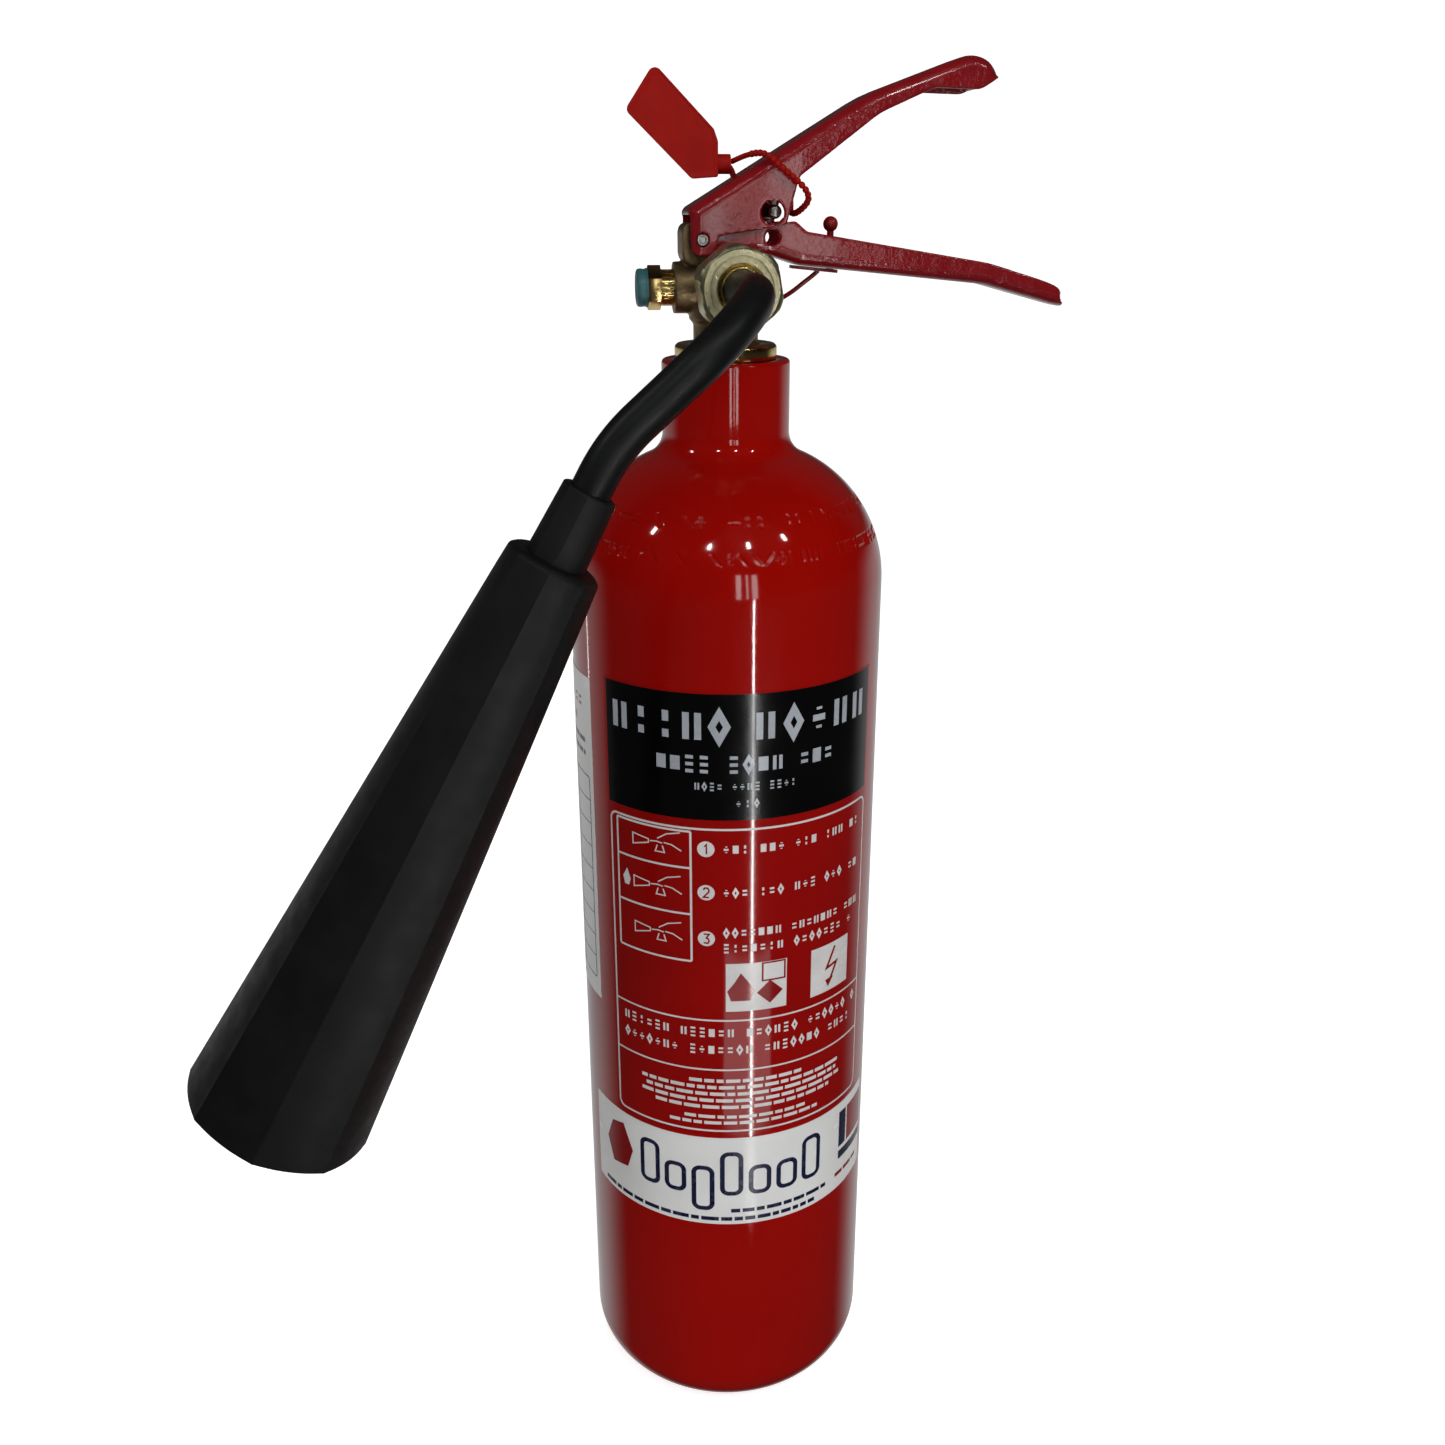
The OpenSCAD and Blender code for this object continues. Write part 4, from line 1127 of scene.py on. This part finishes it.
KEPT = {
    "neck_oring": RUBBER, "dip_tube_bush": BRIGHT_BRASS, "dip_tube": DIP_ALUMINIUM,
    "valve_spring": SPRING_STEEL, "valve_stem": STEEL, "stem_seal": NYLON, "stem_oring": RUBBER,
    "burst_disc": STEEL, "relief_washer": COPPER, "spigot_orings": RUBBER, "jet_nozzle": BRIGHT_BRASS}


def dress_kept_nodes():
    for node, material in KEPT.items():
        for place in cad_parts[node].material_slots:
            place.material = material


make_cylinder()
make_front_label()
make_band_label()
make_service_label()
make_valve()
make_horn()
make_handles()
make_pin()
make_seal()
dress_kept_nodes()


# ---- floor, world and lights ----

def make_floor():
    """A pale floor that curves up all round into a high wall."""
    flat, cove, top = 1500, 900, 3500
    profile = [(0, 0), (400, 0)] + arc(flat, cove, cove, -pi / 2, 0, 16) + [(flat + cove, top)]
    points, faces = lathe(profile, 96)
    mesh = new_mesh("floor", points, [f[::-1] for f in faces])
    mesh.shade_smooth()
    floor = add_object("floor", mesh)
    pale = finish("pale_floor", (0.88, 0.88, 0.88), (0.86, 0.86, 0.86), 300, (0.7, 0.8), 200,
                  Emission_Strength=0.75)
    pale.node_tree.nodes["Principled BSDF"].inputs["Emission Color"].default_value = (1, 1, 1, 1)
    mesh.materials.append(pale)
    floor.visible_glossy = False
    floor.visible_diffuse = False


def make_world():
    """Even soft light, and for reflections dim surroundings with pale walls low at the far side."""
    world = bpy.data.worlds.new("studio")
    bpy.context.scene.world = world
    world.use_nodes = True
    nodes, links = world.node_tree.nodes, world.node_tree.links
    background = nodes["Background"]
    coords = nodes.new("ShaderNodeTexCoord")
    split = nodes.new("ShaderNodeSeparateXYZ")
    links.new(coords.outputs["Generated"], split.inputs["Vector"])
    room = map_range(nodes, links, split.outputs["Y"], (0.15, 0.6, 0.025, 0.50), "SMOOTHSTEP")
    height = map_range(nodes, links, split.outputs["Z"], (-0.12, 0.1, 1, 0.06), "SMOOTHSTEP")
    walls = nodes.new("ShaderNodeMath")
    walls.operation = "MULTIPLY"
    links.new(room, walls.inputs[0])
    links.new(height, walls.inputs[1])
    paths = nodes.new("ShaderNodeLightPath")
    mix = nodes.new("ShaderNodeMix")
    mix.data_type = "FLOAT"
    mix.inputs[2].default_value = 0.34
    links.new(paths.outputs["Is Glossy Ray"], mix.inputs[0])
    links.new(walls.outputs[0], mix.inputs[3])
    links.new(mix.outputs[0], background.inputs["Strength"])
    background.inputs["Color"].default_value = (1, 1, 1, 1)


def make_light(name, place, target, wide, tall, power, diffuse=True, glossy=True):
    """A rectangular lamp that the camera doesn't see, in millimetres and watts."""
    data = bpy.data.lights.new(name, "AREA")
    data.shape = "RECTANGLE"
    data.size = wide * MM
    data.size_y = tall * MM
    data.energy = power
    light = add_object(name, data)
    light.location = Vector(place) * MM
    aim = (Vector(target) - Vector(place)).normalized()
    light.rotation_euler = aim.to_track_quat("-Z", "Y").to_euler()
    light.visible_camera = False
    light.visible_diffuse = diffuse
    light.visible_glossy = glossy


def make_lights():
    middle = (0, 0, 300)
    make_light("key", (350, -950, 1300), middle, 900, 700, 7.5, glossy=False)
    make_light("fill", (-1000, -700, 900), middle, 900, 700, 2.5, glossy=False)
    make_light("back", (200, 1100, 1100), middle, 900, 500, 4, glossy=False)
    make_light("low", (200, -800, 60), (0, 0, 40), 500, 160, 1.6, glossy=False)
    # lamps that show as small highlights on the shoulder, the neck and the bends
    away, up = 1150, 1350
    for k, azimuth in enumerate((-78, -22, 12, 46)):
        a = radians(azimuth)
        place = (away * sin(a), -away * cos(a), up)
        make_light(f"lamp_{k}", place, middle, 60, 130, 1.2, diffuse=False)
    # a thin strip behind, which shows as the line near the cylinder's left side
    make_light("side_strip", (-790, 620, 0), (0, 0, 300), 12, 300, 0.10, diffuse=False)
    # soft panels in front, which show on flat painted and plated faces and as streaks on the neck
    for k, (x, wide, power) in enumerate(((15, 60, 0.26), (120, 24, 0.10), (215, 70, 0.28))):
        make_light(f"panel_{k}", (x, -1000, 510), (0, 0, 490), wide, 340, power, diffuse=False)
    # a narrow upright strip that only shows as the long highlight on glossy paint
    make_light("strip", (75, -400, 100), (0, 0, 200), 9, 500, 0.42, diffuse=False)
    # a faint pane low in front, which shows on the lower half of the label
    make_light("pane", (55, -400, -50), (0, 0, 100), 250, 120, 0.09, diffuse=False)


bpy.context.scene.view_settings.view_transform = "Standard"
make_floor()
make_world()
make_lights()
